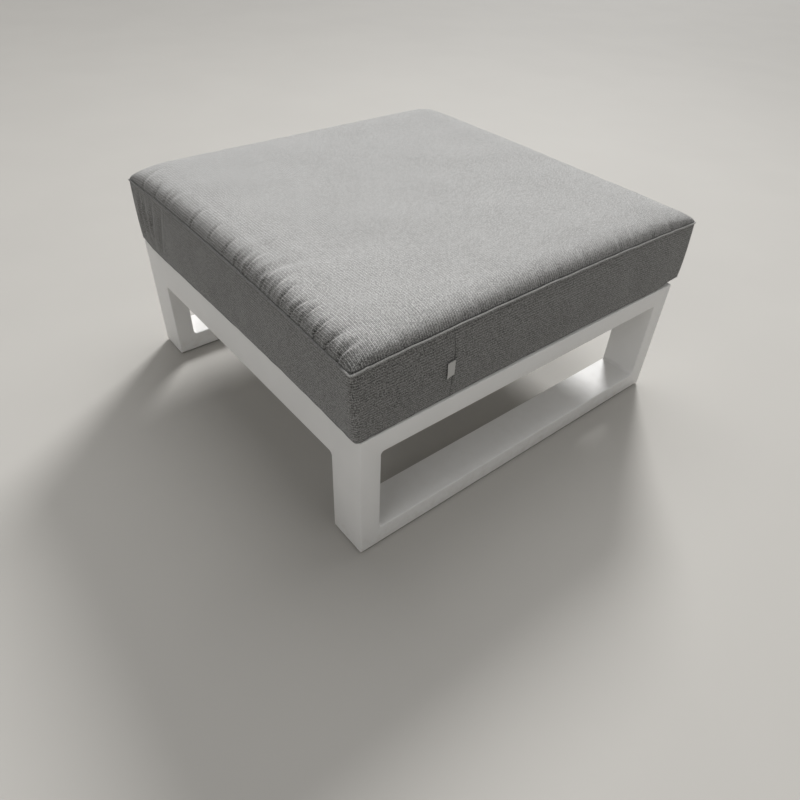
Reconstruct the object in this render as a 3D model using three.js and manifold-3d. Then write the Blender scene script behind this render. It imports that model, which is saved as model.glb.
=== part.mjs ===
// Outdoor ottoman footstool: two welded ring sleds of white aluminium tube, joined by a rail
// at the front and at the back and by seat slats, with a loose box cushion on top.
// Millimetres, +Z up. The two rings stand across X, their tubes run along Y, and -Y is the front.
// The origin is on the floor, under the middle of the seat.

import * as THREE from 'three';
import { mergeVertices } from 'three/addons/utils/BufferGeometryUtils.js';
import Module from 'manifold-3d';

const wasm = await Module();
wasm.setup();

// Frame: overall sizes and the tube that it is welded from
const frameWidth = 800;
const frameDepth = 800;
const sledHeight = 260;
const tubeWide = 80;
const tubeThick = 40;
const tubeWall = 2;
const tubeEdgeRadius = 3;
const tubeBoreRadius = 1;
const weldGap = 0.3;
const weldFilletRadius = 8;
const drainHoleRadius = 3;
const drainHoleFromEnd = 110;

// Seat slats
const slatCount = 6;
const slatWide = 60;
const slatThick = 20;
const slatWall = 1.5;
const slatEdgeRadius = 2;
const slatBoreRadius = 0.5;

// Glides and their screws
const glideHeight = 3;
const glideRadius = 14;
const glideChamfer = 0.8;
const glideFromEnd = 50;
const screwShankRadius = 2;
const screwHeadRadius = 4;
const screwHeadDepth = 2;
const screwHeadRecess = 0.5;
const screwLength = 14;
const screwTipLength = 2;
const screwClearance = 0.3;

// Cushion: how its seam lies to the frame, boxing and crown
const cushionSideInset = 1;
const cushionEndOverhang = 10;
const cushionCornerRadius = 16;
const boxingHeight = 132;
const sideDrawIn = 8;
const sideSwell = 4;
const crownHeight = 34;
const crownRun = 85;
const domeHeight = 4;
const coverThickness = 1.5;
const weltRadius = 1.8;
const layerGap = 0.3;
const fibreSideThickness = 12;
const fibreTopThickness = 10;
const boxingSeamFromFront = 188;

// Label tag in the right-hand boxing seam
const tagWidth = 17;
const tagHeight = 28;
const tagLoopThickness = 1.6;
const tagRibbonThickness = 0.5;
const tagStandOff = 0.5;
const tagAboveBase = 49;

// Zip in the middle of the back boxing
const zipLength = 560;
const tapeWidth = 14;
const tapeThickness = 0.6;
const tapeEndSpare = 12;
const coilWidth = 3;
const coilHeight = 2.4;
const coilShoulder = 0.7;
const zipClearance = 0.35;
const slotCornerRadius = 3;

// Slider and its pull
const sliderLength = 11;
const sliderFlange = 0.9;
const sliderPlate = 1;
const sliderNoseSpread = 0.7;
const sliderCornerRadius = 1.2;
const sliderFromZipEnd = 12;
const bridgeRadius = 2;
const bridgeWidth = 1.6;
const bridgeHoleRadius = 1.05;
const bridgeLift = 1.3;
const pullLength = 22;
const pullWidth = 5;
const pullThickness = 1;
const pullBarHalf = 0.6;
const pullClearance = 0.35;
const pullEyeRadius = 1.2;
const pullEyeFromEnd = 2.8;

// Shares of the sizes above, and how finely round forms are cut
const crownFullnessShare = 0.4;
const straightBackShare = 0.82;
const crownRingShares = [0.05, 0.13, 0.25, 0.42, 0.65, 1, 2.2];
const boxingHeightShares = [0, 0.15, 0.35, 0.65, 0.85, 1];
const weltTurnShares = [0, 0.25, 0.5, 0.75];
const overrunShare = 0.5;
const edgeSegments = 3;
const filletSegments = 5;
const holeSegments = 24;
const sideSteps = 10;
const cornerSteps = 4;

// One overrun serves every cut and every overlap that joins two solids
const overrun = tubeWall * overrunShare;

// Levels and places that follow from the sizes
const frameTop = glideHeight + sledHeight;
const sledCentreX = frameWidth / 2 - tubeWide / 2;
const innerHalfWidth = frameWidth / 2 - tubeWide;
const innerHalfDepth = frameDepth / 2 - tubeThick;
const cushionBase = frameTop + layerGap;
const bottomSeamLevel = cushionBase + weltRadius;
const topSeamLevel = cushionBase + boxingHeight;
const boxingBottom = bottomSeamLevel + weltRadius + layerGap;
const boxingTop = topSeamLevel - weltRadius - layerGap;
const halfWidth = frameWidth / 2 - cushionSideInset;
const halfDepth = frameDepth / 2 + cushionEndOverhang;
const boxingSeamY = boxingSeamFromFront - halfDepth;
const zipLevel = (boxingBottom + boxingTop) / 2;
const flatSwell = swellAt(boxingHeightShares[2]);
const backFaceY = halfDepth - sideDrawIn + flatSwell;
const tapeFrontY = backFaceY - coverThickness - layerGap;
const tapeBackY = tapeFrontY - tapeThickness;
const coilFrontY = tapeFrontY + coilHeight;
const sliderHalfWidth = coilWidth + layerGap + zipClearance + sliderFlange;
const sliderUnderY = coilFrontY + zipClearance;
const sliderFaceY = sliderUnderY + sliderPlate;
const sliderX = zipLength / 2 - sliderFromZipEnd;
const pullPivotY = sliderFaceY + bridgeLift;

// Finishes
const powderCoat = { color: 0xe8e6e1, roughness: 0.45, metalness: 0 };
const glidePlastic = { color: 0x1c1c1d, roughness: 0.6, metalness: 0 };
const steel = { color: 0xa8a9ab, roughness: 0.3, metalness: 1 };
const greyWeave = { color: 0x8b8a87, roughness: 0.95, metalness: 0 };
const whiteFibre = { color: 0xe9e9e4, roughness: 1, metalness: 0 };
const foam = { color: 0xd9d4c3, roughness: 1, metalness: 0 };
const zipGrey = { color: 0x4d4e50, roughness: 0.7, metalness: 0 };
const zincGrey = { color: 0x7f8183, roughness: 0.35, metalness: 1 };

const ottoman = new THREE.Group();

// Solids

function positionsOnly(geometry) {
  const bare = new THREE.BufferGeometry();
  bare.setAttribute('position', geometry.getAttribute('position').clone());
  if (geometry.index) {
    bare.setIndex(geometry.index.clone());
  }
  return bare;
}

function toSolid(geometry) {
  const clean = mergeVertices(positionsOnly(geometry));
  return new wasm.Manifold(new wasm.Mesh({
    numProp: 3,
    vertProperties: new Float32Array(clean.getAttribute('position').array),
    triVerts: new Uint32Array(clean.getIndex().array),
  }));
}

function toGeometry(solid) {
  const mesh = solid.getMesh();
  const geometry = new THREE.BufferGeometry();
  geometry.setAttribute('position', new THREE.BufferAttribute(mesh.vertProperties, 3));
  geometry.setIndex(new THREE.BufferAttribute(mesh.triVerts, 1));
  geometry.computeVertexNormals();
  return geometry;
}

function joined(body, additions) {
  return toGeometry(additions.reduce((sum, piece) => sum.add(toSolid(piece)), toSolid(body)));
}

function cutAway(body, cutters) {
  return toGeometry(cutters.reduce((rest, cutter) => rest.subtract(toSolid(cutter)), toSolid(body)));
}

function keptInside(body, region) {
  return toGeometry(toSolid(body).intersect(toSolid(region)));
}

function boxBetween(low, high) {
  const size = new THREE.Vector3().subVectors(high, low);
  const centre = new THREE.Vector3().addVectors(low, high).multiplyScalar(0.5);
  return new THREE.BoxGeometry(size.x, size.y, size.z).translate(centre.x, centre.y, centre.z);
}

function addPiece(parent, name, geometry, finish) {
  const mesh = new THREE.Mesh(geometry, new THREE.MeshStandardMaterial(finish));
  mesh.name = name;
  parent.add(mesh);
  return mesh;
}

// Turns a piece so that its own y points inward and its own z along its run
function placeAlong(mesh, start, inward, run) {
  const across = new THREE.Vector3().crossVectors(inward, run);
  mesh.quaternion.setFromRotationMatrix(new THREE.Matrix4().makeBasis(across, inward, run));
  mesh.position.copy(start);
}

// Tubes

function roundedRectangle(path, wide, thick, radius) {
  const cornerX = wide / 2 - radius;
  const cornerY = thick / 2 - radius;
  path.moveTo(-cornerX, -thick / 2);
  path.absarc(cornerX, -cornerY, radius, -Math.PI / 2, 0, false);
  path.absarc(cornerX, cornerY, radius, 0, Math.PI / 2, false);
  path.absarc(-cornerX, cornerY, radius, Math.PI / 2, Math.PI, false);
  path.absarc(-cornerX, -cornerY, radius, Math.PI, Math.PI * 1.5, false);
  return path;
}

function tubeOf(wide, thick, wall, edgeRadius, boreRadius, length) {
  const section = roundedRectangle(new THREE.Shape(), wide, thick, edgeRadius);
  const boreWide = wide - 2 * wall;
  const boreThick = thick - 2 * wall;
  section.holes.push(roundedRectangle(new THREE.Path(), boreWide, boreThick, boreRadius));
  const cut = { depth: length, bevelEnabled: false, curveSegments: edgeSegments };
  return new THREE.ExtrudeGeometry(section, cut);
}

// Leans both square ends of a tube at 45 degrees, so that its side at +y is the short one
function mitreEnds(geometry, length, thick) {
  const place = geometry.getAttribute('position');
  for (let i = 0; i < place.count; i += 1) {
    const setBack = place.getY(i) + thick / 2 + weldGap * Math.SQRT1_2;
    const atFarEnd = place.getZ(i) > length / 2;
    place.setZ(i, atFarEnd ? length - setBack : setBack);
  }
  return geometry;
}

function frameTube(length) {
  return tubeOf(tubeWide, tubeThick, tubeWall, tubeEdgeRadius, tubeBoreRadius, length);
}

// The hollow-cheeked bead that a ground weld leaves in a corner: x = 0 is the face that
// carries it, and it stays a weld gap short of the face at y = 0
function weldFillet(corner, out, along, length) {
  const radius = weldFilletRadius;
  const lowAngle = Math.PI + Math.asin((radius - weldGap) / radius);
  const shape = new THREE.Shape();
  shape.moveTo(-overrun, radius);
  shape.lineTo(-overrun, weldGap);
  shape.absarc(radius, radius, radius, lowAngle, Math.PI, true);
  shape.closePath();
  const cut = { depth: length, bevelEnabled: false, curveSegments: filletSegments };
  const bead = new THREE.ExtrudeGeometry(shape, cut).translate(0, 0, -length / 2);
  const across = new THREE.Vector3().crossVectors(out, along);
  return bead.applyMatrix4(new THREE.Matrix4().makeBasis(out, along, across).setPosition(corner));
}

// Sleds: four mitred tubes each

function legTube() {
  const tube = mitreEnds(frameTube(sledHeight), sledHeight, tubeThick);
  const inward = new THREE.Vector3(0, 1, 0);
  const beadLength = tubeWide - 2 * tubeEdgeRadius;
  const lowCorner = new THREE.Vector3(0, tubeThick / 2, tubeThick);
  const highCorner = new THREE.Vector3(0, tubeThick / 2, sledHeight - tubeThick);
  return joined(tube, [
    weldFillet(lowCorner, inward, new THREE.Vector3(0, 0, 1), beadLength),
    weldFillet(highCorner, inward, new THREE.Vector3(0, 0, -1), beadLength),
  ]);
}

function holeThroughOuterWall(radius, z) {
  const reach = tubeWall + 2 * overrun;
  const hole = new THREE.CylinderGeometry(radius, radius, reach, holeSegments);
  return hole.translate(0, tubeWall / 2 - tubeThick / 2, z);
}

function bottomRailTube() {
  const tube = mitreEnds(frameTube(frameDepth), frameDepth, tubeThick);
  const screwHole = screwShankRadius + screwClearance;
  return cutAway(tube, [
    holeThroughOuterWall(screwHole, glideFromEnd),
    holeThroughOuterWall(screwHole, frameDepth - glideFromEnd),
    holeThroughOuterWall(drainHoleRadius, drainHoleFromEnd),
    holeThroughOuterWall(drainHoleRadius, frameDepth - drainHoleFromEnd),
  ]);
}

function addSled(side, centreX) {
  const sled = new THREE.Group();
  sled.position.set(centreX, 0, glideHeight);
  ottoman.add(sled);
  const up = new THREE.Vector3(0, 0, 1);
  const down = new THREE.Vector3(0, 0, -1);
  const back = new THREE.Vector3(0, 1, 0);
  const front = new THREE.Vector3(0, -1, 0);
  const frontEnd = -frameDepth / 2;
  const legY = frameDepth / 2 - tubeThick / 2;

  const bottom = addPiece(sled, `${side}_sled_bottom_rail`, bottomRailTube(), powderCoat);
  placeAlong(bottom, new THREE.Vector3(0, frontEnd, tubeThick / 2), up, back);

  const topTube = mitreEnds(frameTube(frameDepth), frameDepth, tubeThick);
  const top = addPiece(sled, `${side}_sled_top_rail`, topTube, powderCoat);
  placeAlong(top, new THREE.Vector3(0, frontEnd, sledHeight - tubeThick / 2), down, back);

  const frontLeg = addPiece(sled, `${side}_sled_front_leg`, legTube(), powderCoat);
  placeAlong(frontLeg, new THREE.Vector3(0, -legY, 0), back, up);

  const backLeg = addPiece(sled, `${side}_sled_back_leg`, legTube(), powderCoat);
  placeAlong(backLeg, new THREE.Vector3(0, legY, 0), front, up);
}

// Front and back rails: the same tube set on edge between the legs

function crossRailTube(length) {
  const out = new THREE.Vector3(1, 0, 0);
  const beadLength = tubeThick - 2 * tubeEdgeRadius;
  const nearCorner = new THREE.Vector3(tubeWide / 2, 0, -weldGap);
  const farCorner = new THREE.Vector3(tubeWide / 2, 0, length + weldGap);
  return joined(frameTube(length), [
    weldFillet(nearCorner, out, new THREE.Vector3(0, 0, 1), beadLength),
    weldFillet(farCorner, out, new THREE.Vector3(0, 0, -1), beadLength),
  ]);
}

function addCrossRails() {
  const length = 2 * (innerHalfWidth - weldGap);
  const level = frameTop - tubeWide / 2;
  for (const [name, toBack] of [['front_rail', 1], ['back_rail', -1]]) {
    const rail = addPiece(ottoman, name, crossRailTube(length), powderCoat);
    const startY = -toBack * (frameDepth / 2 - tubeThick / 2);
    const start = new THREE.Vector3(-toBack * length / 2, startY, level);
    placeAlong(rail, start, new THREE.Vector3(0, toBack, 0), new THREE.Vector3(toBack, 0, 0));
  }
}

// Seat slats: flat tubes from rail to rail, level with the top of the frame

function addSeatSlats() {
  const length = 2 * (innerHalfDepth - weldGap);
  const gapBetween = (2 * innerHalfWidth - slatCount * slatWide) / (slatCount + 1);
  const tube = tubeOf(slatWide, slatThick, slatWall, slatEdgeRadius, slatBoreRadius, length);
  for (let i = 0; i < slatCount; i += 1) {
    const slat = addPiece(ottoman, `seat_slat_${i + 1}`, tube, powderCoat);
    const x = -innerHalfWidth + gapBetween + slatWide / 2 + i * (slatWide + gapBetween);
    const start = new THREE.Vector3(x, -length / 2, frameTop - slatThick / 2);
    placeAlong(slat, start, new THREE.Vector3(0, 0, 1), new THREE.Vector3(0, 1, 0));
  }
}

// Glides: low plastic discs, each held by a countersunk screw

function turned(profile) {
  const points = profile.map(([radius, height]) => new THREE.Vector2(radius, height));
  return new THREE.LatheGeometry(points, holeSegments).rotateX(Math.PI / 2);
}

function glideDisc() {
  const boreRadius = screwShankRadius + screwClearance;
  const mouthRadius = screwHeadRadius + screwClearance;
  const coneTop = screwHeadRecess + screwHeadDepth;
  return turned([
    [mouthRadius, 0],
    [glideRadius - glideChamfer, 0],
    [glideRadius, glideChamfer],
    [glideRadius, glideHeight],
    [boreRadius, glideHeight],
    [boreRadius, coneTop],
    [mouthRadius, screwHeadRecess],
    [mouthRadius, 0],
  ]);
}

function glideScrew() {
  const tipLevel = screwHeadRecess + screwLength;
  return turned([
    [0, screwHeadRecess],
    [screwHeadRadius, screwHeadRecess],
    [screwShankRadius, screwHeadRecess + screwHeadDepth],
    [screwShankRadius, tipLevel - screwTipLength],
    [0, tipLevel],
  ]);
}

function addGlides() {
  const reachY = frameDepth / 2 - glideFromEnd;
  for (const [side, x] of [['right', sledCentreX], ['left', -sledCentreX]]) {
    for (const [end, y] of [['front', -reachY], ['back', reachY]]) {
      const disc = addPiece(ottoman, `${side}_${end}_glide`, glideDisc(), glidePlastic);
      disc.position.set(x, y, 0);
      const screw = addPiece(ottoman, `${side}_${end}_glide_screw`, glideScrew(), steel);
      screw.position.set(x, y, 0);
    }
  }
}

// Cushion plan: a rectangle with round corners whose sides are drawn in between them.
// The back stays straight between its ends, where the zip runs.

function drawInAt(along, straightHalf, isBack) {
  const reach = Math.min(Math.abs(along) / straightHalf, 1);
  if (!isBack) {
    return sideDrawIn * (1 - reach * reach);
  }
  return sideDrawIn * (1 - THREE.MathUtils.smoothstep(reach, straightBackShare, 1));
}

function planPoints() {
  const sides = [
    { out: [0, -1], along: [1, 0], distance: halfDepth, half: halfWidth },
    { out: [1, 0], along: [0, 1], distance: halfWidth, half: halfDepth },
    { out: [0, 1], along: [-1, 0], distance: halfDepth, half: halfWidth, isBack: true },
    { out: [-1, 0], along: [0, -1], distance: halfWidth, half: halfDepth },
  ];
  const points = [];
  for (const { out, along, distance, half, isBack } of sides) {
    const straightHalf = half - cushionCornerRadius;
    const pointAt = (outward, sideways) => new THREE.Vector2(
      out[0] * outward + along[0] * sideways,
      out[1] * outward + along[1] * sideways,
    );
    for (let i = 0; i < sideSteps; i += 1) {
      const sideways = straightHalf * (2 * i / sideSteps - 1);
      points.push(pointAt(distance - drawInAt(sideways, straightHalf, isBack), sideways));
    }
    for (let j = 0; j < cornerSteps; j += 1) {
      const angle = Math.PI / 2 * j / cornerSteps;
      const outward = distance - cushionCornerRadius * (1 - Math.cos(angle));
      points.push(pointAt(outward, straightHalf + cushionCornerRadius * Math.sin(angle)));
    }
  }
  return points;
}

const plan = planPoints();

// How far the boxing stands out at a share of its height
function swellAt(heightShare) {
  const fromMiddle = 2 * heightShare - 1;
  return sideSwell * (1 - fromMiddle * fromMiddle);
}

function riseAt(fromEdge) {
  const toPlateau = 1 - THREE.MathUtils.clamp(fromEdge / crownRun, 0, 1);
  return Math.pow(1 - toPlateau * toPlateau, crownFullnessShare);
}

// Height of the top over its seam
function crownAt(x, y) {
  const drawnX = drawInAt(y, halfDepth - cushionCornerRadius, false);
  const drawnY = drawInAt(x, halfWidth - cushionCornerRadius, y > 0);
  const rise = riseAt(halfWidth - drawnX - Math.abs(x)) * riseAt(halfDepth - drawnY - Math.abs(y));
  const dome = (1 - (x / halfWidth) ** 2) * (1 - (y / halfDepth) ** 2);
  return crownHeight * rise + domeHeight * dome * rise;
}

function pushedIn(point, inset) {
  point.x *= 1 - inset / halfWidth;
  point.y *= 1 - inset / halfDepth;
  return point;
}

// Rings around the plan, pushed inward, at one level or on the crown
function ringAt(inset, level) {
  return plan.map((point) => pushedIn(new THREE.Vector3(point.x, point.y, level), inset));
}

function crownRing(share, depth) {
  return ringAt(share * crownRun, topSeamLevel).map((point) => {
    point.z += crownAt(point.x, point.y) - depth;
    return pushedIn(point, depth);
  });
}

function pole(level) {
  return [new THREE.Vector3(0, 0, level)];
}

// Skins rings from the underside outward, up and back over the top. A quad is split the
// same way whether its rings climb or fall, so that skins laid inside each other stay apart.
function skinRings(rings, closesOnItself) {
  const corners = rings.flat();
  const firstOf = [];
  rings.reduce((sum, ring) => {
    firstOf.push(sum);
    return sum + ring.length;
  }, 0);
  const count = plan.length;
  const at = (k, i) => firstOf[k] + (rings[k].length === 1 ? 0 : i % count);
  const triangles = [];
  const last = closesOnItself ? rings.length : rings.length - 1;
  for (let k = 0; k < last; k += 1) {
    const next = (k + 1) % rings.length;
    const climbs = rings[next][0].z >= rings[k][0].z;
    for (let i = 0; i < count; i += 1) {
      if (rings[k].length > 1) {
        triangles.push(at(k, i), at(k, i + 1), climbs ? at(next, i + 1) : at(next, i));
      }
      if (rings[next].length > 1) {
        triangles.push(climbs ? at(k, i) : at(k, i + 1), at(next, i + 1), at(next, i));
      }
    }
  }
  const geometry = new THREE.BufferGeometry().setFromPoints(corners);
  geometry.setIndex(triangles);
  geometry.computeVertexNormals();
  return geometry;
}

// The ridge that the seam allowances push up, round the outside of a seam
function weltRings(level) {
  return weltTurnShares.slice(1).map((turn) => {
    const angle = Math.PI * (turn - 0.5);
    return ringAt(-weltRadius * Math.cos(angle), level + weltRadius * Math.sin(angle));
  });
}

function topPanel() {
  const middle = topSeamLevel + crownAt(0, 0);
  const inwardRings = crownRingShares.map((share) => crownRing(share, 0));
  const innerRings = crownRingShares.map((share) => crownRing(share, coverThickness)).reverse();
  return skinRings([
    pole(middle - coverThickness),
    ...innerRings,
    ringAt(coverThickness, topSeamLevel - weltRadius),
    ringAt(0, topSeamLevel - weltRadius),
    ...weltRings(topSeamLevel),
    ringAt(weltRadius * overrunShare, topSeamLevel + weltRadius),
    ...inwardRings,
    pole(middle),
  ], false);
}

function bottomPanel() {
  const inner = cushionBase + coverThickness;
  return skinRings([
    pole(cushionBase),
    ringAt(weltRadius, cushionBase),
    ringAt(0, cushionBase),
    ...weltRings(bottomSeamLevel),
    ringAt(0, bottomSeamLevel + weltRadius),
    ringAt(coverThickness, bottomSeamLevel + weltRadius),
    ringAt(2 * coverThickness, inner),
    pole(inner),
  ], false);
}

function boxingRing(share, depth) {
  const level = THREE.MathUtils.lerp(boxingBottom, boxingTop, share);
  return ringAt(depth - swellAt(share), level);
}

function boxingLoop() {
  return skinRings([
    ...boxingHeightShares.map((share) => boxingRing(share, 0)),
    ...boxingHeightShares.map((share) => boxingRing(share, coverThickness)).reverse(),
  ], true);
}

// A block as wide and high as the whole cushion, between two places along Y
function cushionSlab(fromY, toY) {
  const low = new THREE.Vector3(-frameWidth, fromY, cushionBase - overrun);
  const high = new THREE.Vector3(frameWidth, toY, topSeamLevel + crownRun);
  return boxBetween(low, high);
}

function frontBoxing() {
  return keptInside(boxingLoop(), cushionSlab(-frameDepth, boxingSeamY - layerGap / 2));
}

// The back boxing has a slot in its middle for the zip
function zipSlot() {
  const slotHeight = 2 * (sliderHalfWidth + sliderNoseSpread + zipClearance);
  const slotLength = zipLength + 2 * zipClearance;
  const shape = roundedRectangle(new THREE.Shape(), slotLength, slotHeight, slotCornerRadius);
  const depth = 2 * (coverThickness + sideSwell);
  const cut = { depth, bevelEnabled: false, curveSegments: edgeSegments };
  const slot = new THREE.ExtrudeGeometry(shape, cut).translate(0, 0, -depth / 2);
  return slot.rotateX(Math.PI / 2).translate(0, backFaceY, zipLevel);
}

function backBoxing() {
  const back = keptInside(boxingLoop(), cushionSlab(boxingSeamY + layerGap / 2, frameDepth));
  return cutAway(back, [zipSlot()]);
}

// Fibre wrap: a lid of wadding over the top and the sides of the foam, which gives the crown.
// It gives way behind the zip.

function fibreWrap() {
  const skin = coverThickness + layerGap;
  const inset = skin + fibreSideThickness;
  const foamTop = topSeamLevel - fibreTopThickness;
  const base = cushionBase + skin;
  const wrap = skinRings([
    pole(foamTop + layerGap),
    ringAt(inset, foamTop + layerGap),
    ringAt(inset, base),
    ringAt(skin + coverThickness, base),
    ...boxingHeightShares.map((share) => boxingRing(share, skin)),
    ...crownRingShares.map((share) => crownRing(share, skin)),
    pole(topSeamLevel + crownAt(0, 0) - skin),
  ], false);
  const reachX = zipLength / 2 + tapeEndSpare + layerGap;
  const reachZ = tapeWidth + layerGap;
  const low = new THREE.Vector3(-reachX, tapeBackY - layerGap, zipLevel - reachZ);
  const high = new THREE.Vector3(reachX, frameDepth, zipLevel + reachZ);
  return cutAway(wrap, [boxBetween(low, high)]);
}

function foamCore() {
  const skin = coverThickness + layerGap;
  const inset = skin + fibreSideThickness + layerGap;
  const base = cushionBase + skin;
  const top = topSeamLevel - fibreTopThickness;
  return skinRings([pole(base), ringAt(inset, base), ringAt(inset, top), pole(top)], false);
}

// Label tag: a bare ribbon folded in two, its ends caught in the boxing seam

function labelTag() {
  const outerEnd = tagLoopThickness / 2;
  const innerEnd = outerEnd - tagRibbonThickness;
  const foldAt = tagWidth - outerEnd;
  const ribbon = new THREE.Shape();
  ribbon.moveTo(0, -innerEnd);
  ribbon.lineTo(0, -outerEnd);
  ribbon.absarc(foldAt, 0, outerEnd, -Math.PI / 2, Math.PI / 2, false);
  ribbon.lineTo(0, outerEnd);
  ribbon.lineTo(0, innerEnd);
  ribbon.absarc(foldAt, 0, innerEnd, Math.PI / 2, -Math.PI / 2, true);
  ribbon.closePath();
  const cut = { depth: tagHeight, bevelEnabled: false, curveSegments: filletSegments };
  return new THREE.ExtrudeGeometry(ribbon, cut);
}

function addLabelTag(cushion) {
  const rootY = boxingSeamY - layerGap;
  const tipY = rootY - tagWidth;
  const straightHalf = halfDepth - cushionCornerRadius;
  const faceAt = (y) => halfWidth - drawInAt(y, straightHalf, false) + flatSwell;
  const tag = addPiece(cushion, 'label_tag', labelTag(), greyWeave);
  const lean = Math.atan2(faceAt(tipY) - faceAt(rootY), rootY - tipY);
  const rootX = faceAt(rootY) + tagStandOff + tagLoopThickness / 2;
  tag.position.set(rootX, rootY, cushionBase + tagAboveBase);
  tag.rotation.set(0, 0, lean - Math.PI / 2);
}

// Zip: two tapes with half the coil each, behind the slot

function tapeWithCoil() {
  const inner = layerGap / 2;
  const outer = inner + coilWidth;
  const reach = zipLength / 2 + tapeEndSpare;
  const low = new THREE.Vector3(inner, -tapeThickness, -reach);
  const high = new THREE.Vector3(tapeWidth, 0, reach);
  const section = new THREE.Shape();
  section.moveTo(inner, -tapeThickness / 2);
  section.lineTo(outer, -tapeThickness / 2);
  section.lineTo(outer, coilHeight - coilShoulder);
  section.lineTo(outer - coilShoulder, coilHeight);
  section.lineTo(inner + coilShoulder, coilHeight);
  section.lineTo(inner, coilHeight - coilShoulder);
  section.closePath();
  const cut = { depth: zipLength, bevelEnabled: false };
  const coil = new THREE.ExtrudeGeometry(section, cut).translate(0, 0, -zipLength / 2);
  return joined(boxBetween(low, high), [coil]);
}

function addZipTapes(cushion) {
  const outward = new THREE.Vector3(0, 1, 0);
  const start = new THREE.Vector3(0, tapeFrontY, zipLevel);
  const upper = addPiece(cushion, 'zip_upper_tape', tapeWithCoil(), zipGrey);
  placeAlong(upper, start, outward, new THREE.Vector3(-1, 0, 0));
  const lower = addPiece(cushion, 'zip_lower_tape', tapeWithCoil(), zipGrey);
  placeAlong(lower, start, outward, new THREE.Vector3(1, 0, 0));
}

// Slider: a plate over the coil with a flange down each side and a bridge for the pull.
// It is drawn with x towards its narrow end, y up the boxing and z outward from its face.

function sliderBody() {
  const half = sliderLength / 2;
  const nose = sliderHalfWidth + sliderNoseSpread;
  const tail = sliderHalfWidth;
  const corner = sliderCornerRadius;
  const body = new THREE.Shape();
  body.moveTo(-half + corner, -nose);
  body.lineTo(half - corner, -tail);
  body.quadraticCurveTo(half, -tail, half, -tail + corner);
  body.lineTo(half, tail - corner);
  body.quadraticCurveTo(half, tail, half - corner, tail);
  body.lineTo(-half + corner, nose);
  body.quadraticCurveTo(-half, nose, -half, nose - corner);
  body.lineTo(-half, -nose + corner);
  body.quadraticCurveTo(-half, -nose, -half + corner, -nose);
  const depth = sliderFaceY - tapeFrontY - zipClearance;
  const cut = { depth, bevelEnabled: false, curveSegments: edgeSegments };
  const block = new THREE.ExtrudeGeometry(body, cut).translate(0, 0, -depth);
  const channelHalf = coilWidth + layerGap + zipClearance;
  const low = new THREE.Vector3(-sliderLength, -channelHalf, -2 * depth);
  const high = new THREE.Vector3(sliderLength, channelHalf, -sliderPlate);
  return joined(cutAway(block, [boxBetween(low, high)]), [sliderBridge()]);
}

function sliderBridge() {
  const bridge = new THREE.Shape();
  bridge.moveTo(-bridgeRadius, -sliderPlate / 2);
  bridge.lineTo(bridgeRadius, -sliderPlate / 2);
  bridge.lineTo(bridgeRadius, bridgeLift);
  bridge.absarc(0, bridgeLift, bridgeRadius, 0, Math.PI, false);
  bridge.closePath();
  const hole = new THREE.Path();
  hole.absarc(0, bridgeLift, bridgeHoleRadius, 0, Math.PI * 2, true);
  bridge.holes.push(hole);
  const cut = { depth: bridgeWidth, bevelEnabled: false, curveSegments: filletSegments };
  const plate = new THREE.ExtrudeGeometry(bridge, cut).translate(0, 0, -bridgeWidth / 2);
  return plate.rotateX(Math.PI / 2);
}

// Pull: a flat tab whose end bar lies in the bridge, drawn with x along the tab
function pullTab() {
  const halfWide = pullWidth / 2;
  const windowHalf = bridgeWidth / 2 + pullClearance;
  const windowEnd = bridgeRadius + pullClearance;
  const tab = new THREE.Shape();
  tab.moveTo(-pullBarHalf, halfWide);
  tab.lineTo(-pullBarHalf, -halfWide);
  tab.absarc(pullLength - halfWide, 0, halfWide, -Math.PI / 2, Math.PI / 2, false);
  tab.closePath();
  const window = new THREE.Path();
  window.moveTo(pullBarHalf, -windowHalf);
  window.lineTo(pullBarHalf, windowHalf);
  window.lineTo(windowEnd, windowHalf);
  window.lineTo(windowEnd, -windowHalf);
  window.closePath();
  const eye = new THREE.Path();
  eye.absarc(pullLength - pullEyeFromEnd, 0, pullEyeRadius, 0, Math.PI * 2, true);
  tab.holes.push(window, eye);
  const cut = { depth: pullThickness, bevelEnabled: false, curveSegments: filletSegments };
  return new THREE.ExtrudeGeometry(tab, cut).translate(0, 0, -pullThickness / 2);
}

function addSliderAndPull(cushion) {
  const outward = new THREE.Vector3(0, 1, 0);
  const up = new THREE.Vector3(0, 0, 1);
  const toEnd = new THREE.Vector3(-1, 0, 0);
  const turn = new THREE.Matrix4().makeBasis(toEnd, up, outward);
  const slider = addPiece(cushion, 'zip_slider', sliderBody(), zincGrey);
  slider.quaternion.setFromRotationMatrix(turn);
  slider.position.set(sliderX, sliderFaceY, zipLevel);
  const pull = addPiece(cushion, 'zip_pull', pullTab(), zincGrey);
  pull.quaternion.setFromRotationMatrix(turn);
  pull.position.set(sliderX, pullPivotY, zipLevel);
}

function addCushion() {
  const cushion = new THREE.Group();
  ottoman.add(cushion);
  addPiece(cushion, 'cover_top_panel', topPanel(), greyWeave);
  addPiece(cushion, 'cover_bottom_panel', bottomPanel(), greyWeave);
  addPiece(cushion, 'cover_front_boxing', frontBoxing(), greyWeave);
  addPiece(cushion, 'cover_back_boxing', backBoxing(), greyWeave);
  addPiece(cushion, 'fibre_wrap', fibreWrap(), whiteFibre);
  addPiece(cushion, 'foam_core', foamCore(), foam);
  addLabelTag(cushion);
  addZipTapes(cushion);
  addSliderAndPull(cushion);
}

addSled('right', sledCentreX);
addSled('left', -sledCentreX);
addCrossRails();
addSeatSlats();
addGlides();
addCushion();

export default ottoman;
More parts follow.
